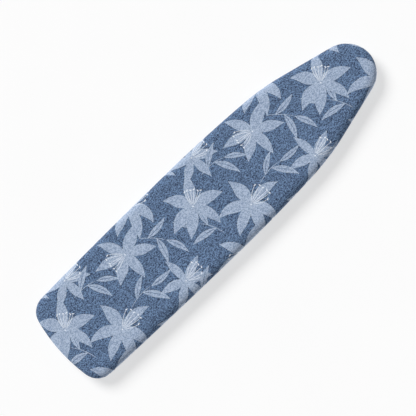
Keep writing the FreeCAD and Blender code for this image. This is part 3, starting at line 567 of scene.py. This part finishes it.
class GatheredHem:
    """The cloth between the rim's side and the casing, buckled by a cloth simulation."""

    def __init__(self, rim, phases):
        self.columns, normals = walk_outline(EDGE_REACH, HEM_STEP)
        self.along = np.array([rim.locate(base)[3] for base in self.columns])
        self.travels = np.linspace(RETURN_TRAVEL - HEM_OVERLAP, CASING_TRAVEL, HEM_ROWS)
        flat = [base + normal * travel for travel in self.travels
                for base, normal in zip(self.columns, normals)]
        start = [wrap_point(rim, phases, point) for point in flat]
        self.length = rim.length
        self.spots = self.simulate(np.array([tuple(point) for point in flat]), start)

    def simulate(self, flat, start):
        """Lets the cut cloth settle between its held edges and returns where its points go."""
        across, down = len(self.columns), len(self.travels)
        faces = []
        for row in range(down - 1):
            for column in range(across):
                beside = (column + 1) % across
                faces.append((row * across + column, (row + 1) * across + column,
                              (row + 1) * across + beside, row * across + beside))
        mesh = bpy.data.meshes.new("hem_strip")
        mesh.from_pydata(start, [], faces)
        strip = add_object("hem_strip", mesh)
        held = strip.vertex_groups.new(name="held")
        held.add(list(range(2 * across)) + list(range((down - 1) * across, down * across)), 1.0, "REPLACE")
        snug = strip.vertex_groups.new(name="snug")
        for index, growth in enumerate(self.fullness(flat, start).ravel()):
            snug.add([index], 1 - growth / MOST_FULLNESS, "REPLACE")
        settle = strip.modifiers.new("settle", "CLOTH")
        settings = settle.settings
        for name, value in HEM_CLOTH.items():
            setattr(settings, name, value)
        settings.effector_weights.gravity = 0
        settle.collision_settings.use_collision = False
        scene = bpy.context.scene
        settle.point_cache.frame_end = HEM_FRAMES
        for number in range(1, HEM_FRAMES + 1):
            scene.frame_set(number)
        settled = strip.evaluated_get(bpy.context.evaluated_depsgraph_get()).data
        spots = np.empty(len(settled.vertices) * 3, dtype=np.float32)
        settled.vertices.foreach_get("co", spots)
        bpy.data.objects.remove(strip)
        scene.frame_set(1)
        return spots.reshape(down, across, 3)

    def fullness(self, flat, start):
        """How much wider the cut cloth is than the room it has, at each point of the strip."""
        down = len(self.travels)
        cut = flat.reshape(down, -1, 2)
        room = np.array(start)[:, :2].reshape(down, -1, 2)
        cut_steps = np.linalg.norm(np.roll(cut, -1, axis=1) - cut, axis=2)
        room_steps = np.linalg.norm(np.roll(room, -1, axis=1) - room, axis=2)
        spare = np.clip(cut_steps / np.maximum(room_steps, 1e-5) - 1, 0, 3)
        extra = spare * FULLNESS_SHARE + SLACK_FULLNESS
        rise = np.clip((self.travels - GATHER_TRAVEL + FULLNESS_LEAD) / FULLNESS_RISE, 0, 1)[:, None]
        return np.clip(extra * rise, 0, MOST_FULLNESS)

    def spot(self, rim, point):
        """Where a flat point between the side and the casing has settled."""
        _, _, travel, along = rim.locate(point)
        row = np.interp(travel, self.travels, np.arange(len(self.travels)))
        upper = min(int(row), len(self.travels) - 2)
        column = int(np.searchsorted(self.along, along, side="right")) - 1
        beside = (column + 1) % len(self.columns)
        gap = (self.along[beside] - self.along[column]) % self.length
        share = ((along - self.along[column]) % self.length) / max(gap, 1e-9)
        share = min(max(share, 0), 1)
        near = self.spots[upper, column] * (1 - share) + self.spots[upper, beside] * share
        far = self.spots[upper + 1, column] * (1 - share) + self.spots[upper + 1, beside] * share
        return near + (far - near) * (row - upper)


def clear_of_neighbours(rim, spot):
    """Keeps the gathers above the foot caps and below the rim tube and the cross bars."""
    inset = EDGE_REACH - rim.locate(spot)[2]
    under_bars = smooth_step((inset - RIM_INNER_INSET) / RIM_TO_BARS)
    ceiling = RIM_UNDERSIDE - CLOTH_THICKNESS / 2 + BAR_CLEARANCE * under_bars
    middle, half = (ceiling + CAP_CLEAR_HEIGHT) / 2, (ceiling - CAP_CLEAR_HEIGHT) / 2
    return spot[0], spot[1], middle + half * math.tanh((spot[2] - middle) / half)


def new_piece(name, points, faces, body, material):
    """A mesh piece that rides on a body and takes its finish from a slot."""
    mesh = bpy.data.meshes.new(name)
    mesh.from_pydata([tuple(point) for point in points], [], faces)
    mesh.polygons.foreach_set("use_smooth", [True] * len(mesh.polygons))
    mesh.materials.append(material)
    piece = add_object(name, mesh)
    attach(piece, body)
    return piece


def make_cover(rim, phases):
    """The cloth: cut flat, then wrapped over the pad and round the rim, and gathered."""
    flat, faces, shown = cut_cloth(rim)
    placed = [wrap_point(rim, phases, point) for point in flat]
    hem = GatheredHem(rim, phases)
    for index, point in enumerate(flat):
        if hem.travels[0] < rim.locate(point)[2] < CASING_TRAVEL:
            placed[index] = clear_of_neighbours(rim, hem.spot(rim, point))
    cover = new_piece("cover_cloth", placed, faces, "board", cloth_material())
    write_cloth_attributes(cover.data, flat, shown)
    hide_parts("cover")
    area = triangle_area(flat, faces)


def triangle_area(flat, faces):
    """The area of the flat triangles together."""
    first, second, third = (flat[[face[corner] for face in faces]] for corner in range(3))
    ahead, aside = second - first, third - first
    return float(np.abs(ahead[:, 0] * aside[:, 1] - ahead[:, 1] * aside[:, 0]).sum() / 2)


def felt_heights(rim, point, low):
    """The felt's upper and lower height at a point: rounded at its edge, dimpled by the mesh below."""
    distance = rim.locate(point)[2]
    depth = EDGE_REACH - FELT_INSET - distance
    ceiling = wrap_profile(max(distance, -1))[1] - CLOTH_THICKNESS - FELT_CLOTH_GAP
    rounding = math.sqrt(max(0, 1 - (1 - min(depth / FELT_EDGE_ROUND, 1)) ** 2))
    middle = low + FELT_MIDDLE_HEIGHT
    dimple = math.sin(point.x * DIMPLE_RATES[0]) * math.sin(point.y * DIMPLE_RATES[1])
    underside = FELT_UNDERSIDE_DEPTH + (DIMPLE_DEPTH * dimple if depth > DIMPLE_INSET else 0)
    return middle + (ceiling - middle) * rounding, middle - underside * rounding


def make_felt_pad(rim):
    """The felt under the cloth: a closed layer whose two faces meet along its edge."""
    edge, _ = walk_outline(FELT_INSET, FELT_EDGE_STEP)
    points = list(edge)
    for deeper in FELT_EDGE_DEPTHS:
        points += walk_outline(FELT_INSET + deeper, FELT_EDGE_STEP)[0]
    points += staggered_points(rim, FELT_STEP, 0)
    flat, _, faces, _, _, sources = delaunay_2d_cdt(points, [], [list(range(len(edge)))], 0, 1e-6)
    faces = [face for face, source in zip(faces, sources) if source]
    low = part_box("pad")[0][2]
    top, bottom, lower = [], [], {}
    for index, point in enumerate(flat):
        above, below = felt_heights(rim, point, low)
        top.append((point.x, point.y, above))
        on_edge = rim.locate(point)[2] > EDGE_REACH - FELT_INSET - 2e-4
        lower[index] = index if on_edge else len(flat) + len(bottom)
        if not on_edge:
            bottom.append((point.x, point.y, below))
    faces = faces + [[lower[index] for index in reversed(face)] for face in faces]
    pad = new_piece("felt_pad", top + bottom, faces, "board", felt_material())
    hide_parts("pad")


def make_elastic(material):
    """The elastic in the casing: a closed round cord, a little uneven along its length."""
    row, normals = walk_outline(CASING_INSET, CORD_STEP)
    points, faces = [], []
    for number, (spot, normal) in enumerate(zip(row, normals)):
        swell = CORD_RADIUS * (1 + CORD_UNEVENNESS * math.sin(number * 2.1))
        following = (number + 1) % len(row)
        for side in range(CORD_SIDES):
            angle = 2 * math.pi * side / CORD_SIDES
            flat = spot + normal * swell * math.cos(angle)
            points.append((flat.x, flat.y, CASING_HEIGHT + swell * math.sin(angle)))
            beside = (side + 1) % CORD_SIDES
            faces.append((number * CORD_SIDES + side, number * CORD_SIDES + beside,
                          following * CORD_SIDES + beside, following * CORD_SIDES + side))
    elastic = new_piece("elastic_ring", points, faces, "board", material)
    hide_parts("hem_elastic")


def make_stitches(rim, phases, material):
    """The thread that closes the casing: short stitches along the hem, under the cloth."""
    travel = CASING_TRAVEL - CLOTH_THICKNESS
    above = Vector((0, 0, THREAD_RADIUS))
    points, faces = [], []
    for base, normal in zip(*walk_outline(EDGE_REACH, STITCH_GAP)):
        tangent = Vector((-normal.y, normal.x))
        ends = [Vector(wrap_point(rim, phases, base + tangent * offset + normal * travel))
                - Vector((0, 0, STITCH_DROP)) for offset in (-STITCH_HALF, STITCH_HALF)]
        along = ends[1] - ends[0]
        if along.length < 1e-5:
            continue
        beside = along.normalized().cross(Vector((0, 0, 1))).normalized() * THREAD_RADIUS
        middle = (ends[0] + ends[1]) / 2 - Vector((0, 0, STITCH_SAG))
        start = len(points)
        points += [ends[0], middle + beside, middle - above, middle - beside, middle + above, ends[1]]
        for first, second in ((1, 2), (2, 3), (3, 4), (4, 1)):
            faces.append((start, start + first, start + second))
            faces.append((start + 5, start + second, start + first))
    new_piece("hem_stitches", points, faces, "board", material)


def make_coil_spring():
    """The spring that tilts the jam plate: a wire coil round the guide rod, its ends closed."""
    low, high = (Vector(corner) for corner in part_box("jam_spring"))
    middle = (low + high) / 2
    radius = (high.y - low.y) / 2 - SPRING_WIRE_RADIUS
    span = high.x - low.x - 2 * SPRING_WIRE_RADIUS
    curve = bpy.data.curves.new("spring_wire", "CURVE")
    curve.dimensions = "3D"
    curve.bevel_depth = SPRING_WIRE_RADIUS
    curve.bevel_resolution = 3
    curve.use_fill_caps = True
    spline = curve.splines.new("POLY")
    spline.points.add(SPRING_STEPS)
    for index, point in enumerate(spline.points):
        share = index / SPRING_STEPS
        angle = 2 * math.pi * SPRING_TURNS * share
        rise = min(max((share - SPRING_CLOSED_END) / (1 - 2 * SPRING_CLOSED_END), 0), 1)
        point.co = (low.x + SPRING_WIRE_RADIUS + span * rise, middle.y + radius * math.cos(angle),
                    middle.z + radius * math.sin(angle), 1)
    spring = add_object("coil_spring", curve)
    curve.materials.append(metal("spring_wire_steel", rgb(118, 122, 128), 0.38, (300, 60, 60)))
    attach(spring, "carriage")
    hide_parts("jam_spring")


def write_cloth_attributes(mesh, flat, shown):
    """Flat cloth coordinates on points, ink and vein coordinates on face corners."""
    cloth = mesh.attributes.new("cloth", "FLOAT_VECTOR", "POINT")
    cloth.data.foreach_set("vector", np.c_[flat, np.zeros(len(flat))].astype(np.float32).ravel())
    corner_points = np.empty(len(mesh.loops), dtype=np.int32)
    mesh.loops.foreach_get("vertex_index", corner_points)
    starts = np.empty(len(mesh.polygons), dtype=np.int32)
    mesh.polygons.foreach_get("loop_start", starts)
    counts = np.empty(len(mesh.polygons), dtype=np.int32)
    mesh.polygons.foreach_get("loop_total", counts)
    face_of_corner = np.repeat(np.arange(len(starts)), counts)
    ink = np.array([entry[0] for entry in shown], dtype=np.float32)[face_of_corner]
    veins = np.zeros((len(corner_points), 3), dtype=np.float32)
    faces_of_blade = {}
    for number, (_, blade) in enumerate(shown):
        if blade is not None:
            faces_of_blade.setdefault(blade, []).append(number)
    for blade, numbers in faces_of_blade.items():
        corners = np.flatnonzero(np.isin(face_of_corner, numbers))
        along, across = blade_coordinates(blade, flat[corner_points[corners]])
        veins[corners, 0] = along
        veins[corners, 1] = across
    mesh.attributes.new("ink", "FLOAT_VECTOR", "CORNER").data.foreach_set("vector", ink.ravel())
    mesh.attributes.new("veins", "FLOAT_VECTOR", "CORNER").data.foreach_set("vector", veins.ravel())


# ---- materials ------------------------------------------------------------------------

class Shader:
    """Short words for building one node material."""

    def __init__(self, name):
        self.material = bpy.data.materials.new(name)
        self.material.use_nodes = True
        self.tree = self.material.node_tree
        self.principled = self.tree.nodes["Principled BSDF"]

    def feed(self, socket, value):
        if isinstance(value, bpy.types.NodeSocket):
            self.tree.links.new(value, socket)
        else:
            socket.default_value = value

    def node(self, kind, **sockets):
        """A new node whose input sockets, named with underscores, get these values or links."""
        made = self.tree.nodes.new("ShaderNode" + kind)
        for name, value in sockets.items():
            self.feed(made.inputs[name.replace("_", " ")], value)
        return made

    def math(self, operation, first, second=0.0):
        made = self.node("Math")
        made.operation = operation
        self.feed(made.inputs[0], first)
        self.feed(made.inputs[1], second)
        return made.outputs[0]

    def times(self, first, second):
        return self.math("MULTIPLY", first, second)

    def plus(self, first, second):
        return self.math("ADD", first, second)

    def minus(self, first, second):
        return self.math("SUBTRACT", first, second)

    def sine(self, value):
        return self.math("SINE", value)

    def mix(self, share, first, second):
        made = self.node("Mix")
        made.data_type = "RGBA"
        self.feed(made.inputs["Factor"], share)
        self.feed(made.inputs[6], first)
        self.feed(made.inputs[7], second)
        return made.outputs[2]

    def ramp(self, value, low, high):
        return self.node("MapRange", Value=value, From_Min=low, From_Max=high).outputs["Result"]

    def noise(self, vector, scale, detail=2.0, roughness=0.5):
        made = self.node("TexNoise", Vector=vector, Scale=scale, Detail=detail, Roughness=roughness)
        return made.outputs["Fac"]

    def slubs(self, vector, sizes):
        """Random values from 0 to 1 in short lengths of thread that lie along the twill."""
        turned = self.node("Mapping", Vector=vector, Rotation=(0, 0, math.radians(45)),
                           Scale=(1 / sizes[0], 1 / sizes[1], 1))
        cell = self.node("VectorMath")
        cell.operation = "FLOOR"
        self.feed(cell.inputs[0], turned.outputs[0])
        made = self.node("TexWhiteNoise")
        made.noise_dimensions = "2D"
        self.feed(made.inputs["Vector"], cell.outputs[0])
        return made.outputs["Value"]

    def stretched(self, vector, scale):
        return self.node("Mapping", Vector=vector, Scale=scale).outputs[0]

    def attribute(self, name):
        made = self.node("Attribute")
        made.attribute_name = name
        return made.outputs["Vector"]

    def place(self):
        return self.node("TexCoord").outputs["Object"]

    def split(self, vector):
        return self.node("SeparateXYZ", Vector=vector).outputs

    def bump(self, height, strength, distance):
        made = self.node("Bump", Height=height, Strength=strength, Distance=distance)
        self.feed(self.principled.inputs["Normal"], made.outputs[0])

    def set(self, **sockets):
        for name, value in sockets.items():
            self.feed(self.principled.inputs[name.replace("_", " ")], value)
        return self.material


def rgb(red, green, blue):
    """A colour given as it looks on screen, 0 to 255, as the shader's linear values."""
    def linear(value):
        value /= 255
        return value / 12.92 if value <= 0.04045 else ((value + 0.055) / 1.055) ** 2.4
    return (linear(red), linear(green), linear(blue), 1.0)


def scaled(colour, share, lift=0.0):
    """The same colour, darker or paler."""
    return tuple(min(1.0, part * share + lift) for part in colour[:3]) + (1.0,)


def cloth_material():
    """Heathered denim-blue cotton with a paler flower print, and its weave."""
    shade = Shader("print_cloth")
    cloth = shade.attribute("cloth")
    ink = shade.split(shade.attribute("ink"))
    veins = shade.split(shade.attribute("veins"))
    grain = shade.ramp(shade.noise(cloth, 230, 2.0, 0.62), 0.42, 0.58)
    fine = shade.ramp(shade.noise(cloth, 520, 2.0, 0.7), 0.34, 0.66)
    slubs = shade.ramp(shade.slubs(cloth, SLUB_SIZE), 0.25, 0.75)
    broad = shade.ramp(shade.noise(cloth, 14, 3.0, 0.5), 0.3, 0.7)
    mottle = shade.plus(shade.times(grain, 0.48), shade.times(slubs, 0.52))
    ground = shade.mix(mottle, rgb(0, 4, 46), rgb(120, 150, 188))
    ground = shade.mix(shade.times(broad, 0.10), ground, rgb(48, 72, 110))
    stipple = shade.plus(shade.times(fine, 0.5), shade.times(slubs, 0.5))
    petal = shade.mix(stipple, rgb(100, 122, 158), rgb(196, 211, 231))
    rays = shade.sine(shade.times(vein_phase(shade, veins), 15.0))
    rays = shade.times(shade.ramp(rays, 0.5, 1.0), shade.ramp(veins[0], 0.85, 0.1))
    petal = shade.mix(shade.times(rays, 0.45), petal, rgb(196, 208, 226))
    line = shade.mix(mottle, rgb(148, 166, 192), rgb(198, 210, 225))
    white = shade.mix(fine, rgb(222, 230, 240), rgb(250, 252, 254))
    colour = shade.mix(ink[0], ground, petal)
    colour = shade.mix(ink[1], colour, line)
    colour = shade.mix(ink[2], colour, white)
    flat = shade.split(cloth)
    threads = shade.plus(shade.sine(shade.times(flat[0], THREADS)),
                         shade.sine(shade.times(flat[1], THREADS)))
    twill = shade.sine(shade.times(shade.plus(flat[0], flat[1]), THREADS / 2))
    weave = shade.ramp(shade.plus(threads, twill), -3.0, 3.0)
    colour = shade.mix(shade.times(weave, 0.08), colour, rgb(190, 210, 236))
    height = shade.plus(weave, shade.times(grain, 0.4))
    shade.bump(height, 0.35, 0.0006)
    return shade.set(Base_Color=colour, Roughness=0.94, Sheen_Weight=0.02, Sheen_Roughness=0.6,
                     Specular_IOR_Level=0.15)


def vein_phase(shade, veins):
    """A value that runs across a petal and wavers along it."""
    waver = shade.times(shade.sine(shade.times(veins[0], 5.0)), 0.12)
    return shade.plus(shade.times(veins[1], 1.6), waver)


def felt_material():
    """Pressed felt of mixed pale fibres."""
    shade = Shader("pressed_felt")
    place = shade.place()
    fibres = shade.ramp(shade.noise(shade.stretched(place, (1, 3.2, 1)), 240, 5.0, 0.75), 0.3, 0.7)
    clumps = shade.ramp(shade.noise(place, 36, 4.0, 0.6), 0.3, 0.7)
    colour = shade.mix(fibres, rgb(176, 170, 158), rgb(222, 217, 206))
    colour = shade.mix(shade.times(clumps, 0.3), colour, rgb(150, 150, 150))
    shade.bump(fibres, 0.5, 0.0009)
    return shade.set(Base_Color=colour, Roughness=0.97, Sheen_Weight=0.3, Specular_IOR_Level=0.1)


def cord_material():
    """White braided cord: fine diagonal strands."""
    shade = Shader("braided_cord")
    place = shade.split(shade.place())
    strands = shade.sine(shade.times(shade.plus(place[0], place[1]), 5200))
    crossing = shade.sine(shade.times(shade.minus(place[0], place[2]), 5200))
    braid = shade.ramp(shade.plus(strands, crossing), -2.0, 2.0)
    colour = shade.mix(braid, rgb(176, 182, 190), rgb(232, 235, 238))
    shade.bump(braid, 0.6, 0.0004)
    return shade.set(Base_Color=colour, Roughness=0.85, Specular_IOR_Level=0.25)


def edge_wear(shade, radius, amount):
    """Shares from 0 to 1 that are high along rubbed edges."""
    bevel = shade.node("Bevel", Radius=radius)
    bevel.samples = 4
    facing = shade.node("NewGeometry").outputs["Normal"]
    dot = shade.node("VectorMath")
    dot.operation = "DOT_PRODUCT"
    shade.feed(dot.inputs[0], bevel.outputs[0])
    shade.feed(dot.inputs[1], facing)
    rubbed = shade.ramp(dot.outputs["Value"], 0.985, 0.86)
    patches = shade.ramp(shade.noise(shade.place(), 90, 4.0, 0.65), 0.66 - amount, 0.72 - amount)
    return shade.times(rubbed, patches)


def painted(name, colour, wear_radius=0.0009, wear=0.16, roughness=0.42):
    """Powder-coated steel: orange peel, faint grime, and bare metal along rubbed edges."""
    shade = Shader(name)
    place = shade.place()
    peel = shade.noise(place, 900, 2.0, 0.5)
    grime = shade.ramp(shade.noise(place, 9, 5.0, 0.62), 0.42, 0.72)
    scuffs = shade.ramp(shade.noise(shade.stretched(place, (18, 240, 240)), 1.0, 3.0, 0.6), 0.62, 0.74)
    coat = shade.mix(shade.times(grime, 0.55), colour, scaled(colour, 0.74))
    coat = shade.mix(shade.times(scuffs, 0.4), coat, scaled(colour, 1.12))
    worn = edge_wear(shade, wear_radius, wear)
    base = shade.mix(worn, coat, rgb(150, 150, 152))
    rough = shade.plus(shade.times(grime, 0.16), roughness)
    rough = shade.minus(rough, shade.times(worn, 0.12))
    shade.bump(peel, 0.12, 0.0004)
    return shade.set(Base_Color=base, Roughness=rough, Metallic=worn)


def metal(name, colour, roughness=0.3, grain=(40, 900, 900), stain=0.35):
    """Bare or plated steel: drawn lines along its length and a dull, uneven tarnish."""
    shade = Shader(name)
    place = shade.place()
    lines = shade.ramp(shade.noise(shade.stretched(place, grain), 1.0, 3.0, 0.6), 0.3, 0.7)
    tarnish = shade.ramp(shade.noise(place, 38, 5.0, 0.65), 0.45, 0.75)
    darker = scaled(colour, 0.55)
    base = shade.mix(shade.times(tarnish, stain), colour, darker)
    base = shade.mix(shade.times(lines, 0.18), base, darker)
    rough = shade.plus(shade.times(lines, 0.14), roughness)
    rough = shade.plus(rough, shade.times(tarnish, 0.14))
    shade.bump(lines, 0.15, 0.0002)
    return shade.set(Base_Color=base, Roughness=rough, Metallic=1.0)


def plastic(name, colour, roughness=0.5, texture=1400, scuff=0.5):
    """Moulded plastic: a fine spark-eroded surface, paler scuffs on its edges, and dust."""
    shade = Shader(name)
    place = shade.place()
    spark = shade.noise(place, texture, 2.0, 0.5)
    dust = shade.ramp(shade.noise(place, 55, 4.0, 0.6), 0.45, 0.75)
    paler = scaled(colour, 1.5, 0.03)
    base = shade.mix(shade.times(dust, 0.25), colour, paler)
    worn = shade.times(edge_wear(shade, 0.0012, 0.2), scuff)
    base = shade.mix(worn, base, paler)
    rough = shade.plus(shade.times(dust, 0.18), roughness)
    shade.bump(spark, 0.25, 0.0003)
    return shade.set(Base_Color=base, Roughness=rough)


def dress_frame():
    """Gives every CAD node that stays its real finish. The soft ones and the spring are replaced."""
    white_coat = painted("deck_coat", rgb(205, 207, 209))
    mesh_coat = painted("mesh_coat", rgb(198, 200, 203), wear_radius=0.0003, wear=0.02, roughness=0.45)
    leg_coat = painted("leg_coat", rgb(150, 155, 160), wear_radius=0.0012, wear=0.1, roughness=0.34)
    rod_steel = metal("rod_steel", rgb(196, 198, 200), 0.18, (14, 700, 700), stain=0.2)
    pin_steel = metal("pin_steel", rgb(186, 187, 190), 0.28, (700, 30, 700))
    zinc = metal("zinc_plate", rgb(178, 180, 176), 0.36, (160, 160, 160), stain=0.5)
    wire_steel = metal("wire_steel", rgb(150, 152, 156), 0.32, (500, 40, 500))
    plate_steel = metal("plate_steel", rgb(112, 114, 118), 0.4, (300, 300, 40), stain=0.5)
    cap = plastic("cap_rubber", rgb(58, 62, 70), 0.62, 1100)
    block = plastic("block_plastic", rgb(36, 38, 41), 0.48)
    nylon = plastic("natural_nylon", rgb(218, 218, 208), 0.38, 1600, scuff=0.25)
    grip = plastic("grip_plastic", rgb(46, 82, 138), 0.4, 1300)
    finishes = {
        "deck_frame": white_coat, "deck_mesh": mesh_coat, "cross_bar": white_coat,
        "hinge_bracket": white_coat, "guide_bracket": white_coat, "outer_tube": leg_coat,
        "inner_tube": leg_coat, "outer_foot_bar": leg_coat, "inner_foot_bar": leg_coat,
        "inner_leg_ties": leg_coat, "guide_rod": rod_steel, "hinge_pin": pin_steel,
        "pivot_bolt": pin_steel, "carriage_pin": pin_steel, "lever_pin": pin_steel,
        "pivot_nut": zinc, "pivot_washers": zinc, "bracket_rivets": zinc, "jam_plate": plate_steel,
        "release_wire": wire_steel, "release_grip": grip, "outer_foot_caps": cap,
        "inner_foot_caps": cap, "outer_tube_plugs": cap, "inner_tube_plugs": cap,
        "carriage_block": block, "leg_clip": nylon, "pivot_bush": nylon,
    }
    for name, node in frame["nodes"].items():
        prefix = max((key for key in finishes if name.startswith(key)), key=len, default=None)
        if prefix:
            node.data.materials.clear()
            node.data.materials.append(finishes[prefix])


# ---- scene ----------------------------------------------------------------------------

TILT = math.radians(18)
SLANT = math.radians(44.13)
SENSOR_WIDTH = 36
VIEW_DISTANCE = 5.0
VIEW_WIDTH = 1.326
AIM_RIGHT = -0.0147
AIM_UP = -0.0256
FLOOR_REACH = 60.0
FLOOR_GLOW = 0.63
SKY_LIGHT = 0.15
BAND_LIGHT = 0.99
BAND_TOP = 0.11
BAND_FADE = 0.18
SUN_LIGHT = 3.35
SUN_HEIGHT = math.radians(47)
SUN_SPREAD = math.radians(34)


def make_camera():
    """Looking down on the top from a little to its right, the board slanting across."""
    across = Vector((0, math.cos(TILT), math.sin(TILT)))
    back = Vector((0, -math.sin(TILT), math.cos(TILT)))
    right = Vector((1, 0, 0)) * math.cos(SLANT) - across * math.sin(SLANT)
    up = Vector((1, 0, 0)) * math.sin(SLANT) + across * math.cos(SLANT)
    data = bpy.data.cameras.new("camera")
    data.sensor_width = SENSOR_WIDTH
    data.lens = SENSOR_WIDTH * VIEW_DISTANCE / VIEW_WIDTH
    camera = add_object("camera", data)
    aim = Vector((0, 0, COVER_HIGH.z)) + right * AIM_RIGHT + up * AIM_UP
    turn = Matrix((right, up, back)).transposed().to_4x4()
    camera.matrix_world = Matrix.Translation(aim + back * VIEW_DISTANCE) @ turn
    bpy.context.scene.camera = camera


def stand_on_feet(floor):
    """Keeps the floor level under the outer foot, so the board stands on it with its legs open."""
    low, high = (Vector(corner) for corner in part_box("outer_foot_bar"))
    foot = add_object("foot_centre", None)
    foot.parent = frame["bodies"]["outer_leg"]
    foot.matrix_world = Matrix.Translation((low + high) / 2)
    floor.location.z = -(low.z + high.z) / 2
    follow = floor.constraints.new("COPY_LOCATION")
    follow.target = foot
    follow.use_x = follow.use_y = False
    follow.use_offset = True


def make_studio():
    """A pale floor that gives off part of its own light, under a plain sky and a broad sun."""
    mesh = bpy.data.meshes.new("floor")
    corners = [(x * FLOOR_REACH, y * FLOOR_REACH, 0) for x, y in ((-1, -1), (1, -1), (1, 1), (-1, 1))]
    mesh.from_pydata(corners, [], [(0, 1, 2, 3)])
    floor = add_object("floor", mesh)
    shade = Shader("pale_floor")
    tone = shade.mix(shade.noise(shade.place(), 3.0), rgb(158, 158, 158), rgb(162, 162, 162))
    mesh.materials.append(shade.set(Base_Color=tone, Roughness=0.9, Emission_Color=(1, 1, 1, 1),
                                    Emission_Strength=FLOOR_GLOW))
    stand_on_feet(floor)
    make_sky()
    make_sun()
    bpy.context.scene.view_settings.view_transform = "Standard"


def make_sky():
    """Soft light from all round, with a white band where the sky meets the floor."""
    world = bpy.data.worlds.new("studio")
    world.use_nodes = True
    tree = world.node_tree
    direction = tree.nodes.new("ShaderNodeTexCoord")
    parts = tree.nodes.new("ShaderNodeSeparateXYZ")
    band = tree.nodes.new("ShaderNodeMapRange")
    band.inputs["From Min"].default_value = BAND_TOP
    band.inputs["From Max"].default_value = BAND_FADE
    band.inputs["To Min"].default_value = BAND_LIGHT
    band.inputs["To Max"].default_value = SKY_LIGHT
    tree.links.new(direction.outputs["Generated"], parts.inputs[0])
    tree.links.new(parts.outputs["Z"], band.inputs["Value"])
    tree.links.new(band.outputs["Result"], tree.nodes["Background"].inputs["Strength"])
    tree.nodes["Background"].inputs["Color"].default_value = (1, 1, 1, 1)
    bpy.context.scene.world = world


def make_sun():
    """A broad key light from beyond the board's far side, so that its near edge falls into shade."""
    data = bpy.data.lights.new("key", "SUN")
    data.energy = SUN_LIGHT
    data.angle = SUN_SPREAD
    lamp = add_object("key", data)
    towards = Vector((-0.08, math.cos(SUN_HEIGHT), math.sin(SUN_HEIGHT)))
    lamp.rotation_euler = towards.to_track_quat("Z", "Y").to_euler()


make_camera()
make_studio()
dress_frame()
rim = Rim()
phases = gather_phases()
make_cover(rim, phases)
make_felt_pad(rim)
cord = cord_material()
make_elastic(cord)
make_stitches(rim, phases, cord)
make_coil_spring()
